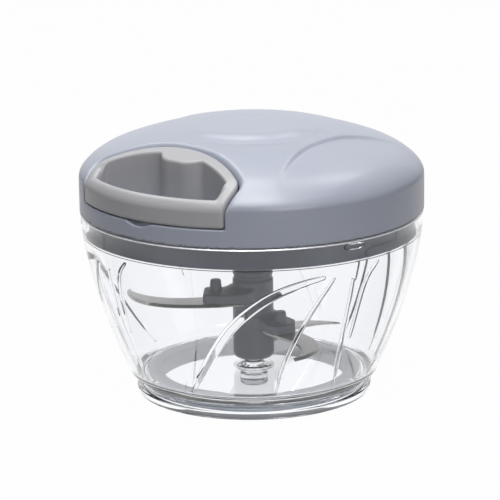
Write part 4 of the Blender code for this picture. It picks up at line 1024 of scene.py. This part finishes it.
cordSettings = Settings(
    radius=0.001, windingRadius=0.0183, cornerV=0.0286, cornerRun=0.0035, startGap=0.0023,
    eyeletOut=0.0346, knotRadius=0.0023, steps=14, stretchRings=30,
    knotShare=0.82, knotSpread=0.00045,
    eyelet=[(1.35, 31.1), (3.55, 31.1), (3.55, 31.8), (2.45, 31.8), (2.45, 34.3), (1.35, 34.3)],
    eyeletRounding=0.00035,
)


def pullCord():
    # from the winding round the corner to the eyelet, then straight to the knot
    s = cordSettings
    corner = Vector((s.cornerV, 0))
    angle = -acos(s.windingRadius / s.cornerV)
    leaving = Vector((cos(angle), sin(angle))) * s.windingRadius
    away = (corner - leaving).normalized()
    bendStart, bendEnd = corner - away * s.cornerRun, corner + Vector((s.cornerRun, 0))
    flat = [leaving + away * s.startGap, (leaving + away * s.startGap).lerp(bendStart, 0.5)]
    flat += bend(bendStart, corner, bendEnd, s.steps)
    end = shared.knotV - s.knotRadius - shared.clearance
    flat += [Vector((v, 0)) for v in np.linspace(bendEnd.x + 0.0004, end, s.stretchRings)]
    return sweptCord("pullCord", [placed(p.x, p.y, shared.cordHeight) for p in flat], s.radius)


def cordKnot():
    # a trefoil drawn tight
    s = cordSettings
    spread, points = s.knotSpread, []
    for t in (tau * i / 60 for i in range(60)):
        points.append(placed(
            shared.knotV + spread * sin(3 * t) / 1.2, spread * (sin(t) + 2 * sin(2 * t)),
            shared.cordHeight + spread * (cos(t) - 2 * cos(2 * t)),
        ))
    return sweptCord("cordKnot", points, s.radius * s.knotShare, sides=12, closed=True)


def cordEyelet():
    s = cordSettings
    eyelet = turned("cordEyelet", softened(fromMm(s.eyelet), s.eyeletRounding), 48)
    lay = Matrix.Rotation(radians(shared.handleTurn), 4, "Z") @ Matrix.Translation((0, 0, shared.cordHeight))
    eyelet.data.transform(lay @ Matrix.Rotation(pi / 2, 4, "Y"))
    return eyelet


pull = pullCord()
painted(pull, "cord_fibre")
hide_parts("pull_cord")
dressed(cordKnot(), "cord_fibre", "pull_handle", "cord_knot")
dressed(cordEyelet(), "bright_steel", "lid", "cord_eyelet")
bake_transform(pull)


cameraSettings = Settings(
    elevation=14.78, distance=1, target=(0, 0, 0.05), focalPixels=2738.9, roll=-0.76, centre=(252.5, 254), frame=500,
)
lightSettings = Settings(
    # name, place, size and power
    lights=[
        ("topLight", (-0.14, -0.04, 1.1), 0.8, 5), ("glintLight", (-0.05, 0.27, 1.1), 0.36, 1.5),
        ("glintLeftLight", (-0.5, 0.45, 1.05), 0.4, 2.25), ("glintRightLight", (0.42, 0.5, 1.05), 0.36, 1.5),
        ("browLight", (0.02, -0.48, 1.05), 0.6, 6.5), ("frontLight", (0.5, -1.1, 0.42), 0.6, 3.4),
        ("leftLight", (-1, -0.7, 0.6), 0.7, 0.9), ("rightLight", (1.1, -0.5, 0.5), 0.7, 0.7),
    ],
    ambient=0.04, paper=0.2, paperGlow=0.985, through=1.06,
    card=0.15, cardFrom=0.4, cardTo=0.78, frontCard=0.25, frontFrom=0.3, frontTo=0.75,
    cardReach=0.8, shade=0.6, floorReach=3,
)


def makeCamera():
    s = cameraSettings
    data = bpy.data.cameras.new("camera")
    data.sensor_width = 36
    data.lens = s.focalPixels * data.sensor_width / s.frame
    data.shift_x = -(s.centre[0] - s.frame / 2) / s.frame
    data.shift_y = (s.centre[1] - s.frame / 2) / s.frame
    camera = addPiece("camera", data)
    lift = radians(s.elevation)
    target = Vector(s.target)
    camera.location = target + Vector((0, -cos(lift), sin(lift))) * s.distance
    tilt = Matrix.Rotation(radians(90) - lift, 4, "X")
    camera.rotation_euler = (tilt @ Matrix.Rotation(radians(s.roll), 4, "Z")).to_euler()
    bpy.context.scene.camera = camera


def makeLight(name, place, size, power):
    data = bpy.data.lights.new(name, "AREA")
    data.shape = "DISK"
    data.size = size
    data.energy = power
    light = addPiece(name, data)
    light.location = place
    light.rotation_euler = (Vector(cameraSettings.target) - light.location).to_track_quat("-Z", "Y").to_euler()


def sideCards(bench, direction):
    # 1 straight ahead, down to the level of the dark cards far out on both sides and behind the camera
    s = lightSettings
    sideways, nearer = [bench.add("ShaderNodeSeparateXYZ", [direction], output=axis) for axis in "XY"]
    sides = bench.eased(sideways.maths("ABSOLUTE", sideways), s.cardFrom, s.cardTo, 1, s.card)
    return sides * bench.eased(nearer * -1, s.frontFrom, s.frontTo, 1, s.frontCard)


def rayKinds(bench):
    # what the camera sees, what is seen through clear plastic, and how far paper and world glow by themselves
    camera, glossy, through, depth = [
        bench.add("ShaderNodeLightPath", output=kind)
        for kind in ("Is Camera Ray", "Is Glossy Ray", "Is Transmission Ray", "Diffuse Depth")]
    seen = bench.add("ShaderNodeMath", [camera + glossy, through], operation="ADD", use_clamp=True)
    return camera, through, seen * (1 - depth.maths("GREATER_THAN", depth, 0.5) * lightSettings.shade)


def makeFloor():
    s = lightSettings
    corners = [(x * s.floorReach, y * s.floorReach, 0) for x, y in ((-1, -1), (1, -1), (1, 1), (-1, 1))]
    floor = meshPiece("floor", corners, [range(4)])
    finish = Finish("floorPaper")
    camera, through, seen = rayKinds(finish)
    near = 1 / s.cardReach
    way = finish.add("ShaderNodeVectorMath", [finish.place, (near, near, 0)], operation="MULTIPLY")
    level = camera + (1 - camera) * sideCards(finish, way) * (through * (s.through - 1) + 1)
    glow = finish.add("ShaderNodeEmission", {"Color": (1, 1, 1, 1), "Strength": level})
    paper = finish.add("ShaderNodeBsdfDiffuse", {"Color": [s.paper] * 3 + [1]})
    floor.data.materials.append(finish.show(finish.mixed(seen * s.paperGlow, paper, glow)))


def makeWorld():
    world = bpy.data.worlds.new("studio")
    bpy.context.scene.world = world
    world.use_nodes = True
    bench = NodeBench()
    bench.tree = world.node_tree
    camera, _, seen = rayKinds(bench)
    card = sideCards(bench, bench.add("ShaderNodeTexCoord", output="Generated"))
    ambient = lightSettings.ambient
    background = bench.tree.nodes["Background"]
    bench.feed(background.inputs["Strength"], (camera + (1 - camera) * card - ambient) * seen + ambient)
    bench.feed(background.inputs["Color"], (1, 1, 1, 1))


makeCamera()
makeFloor()
makeWorld()
for light in lightSettings.lights:
    makeLight(*light)
bpy.context.scene.view_settings.view_transform = "Standard"
print("stage set")
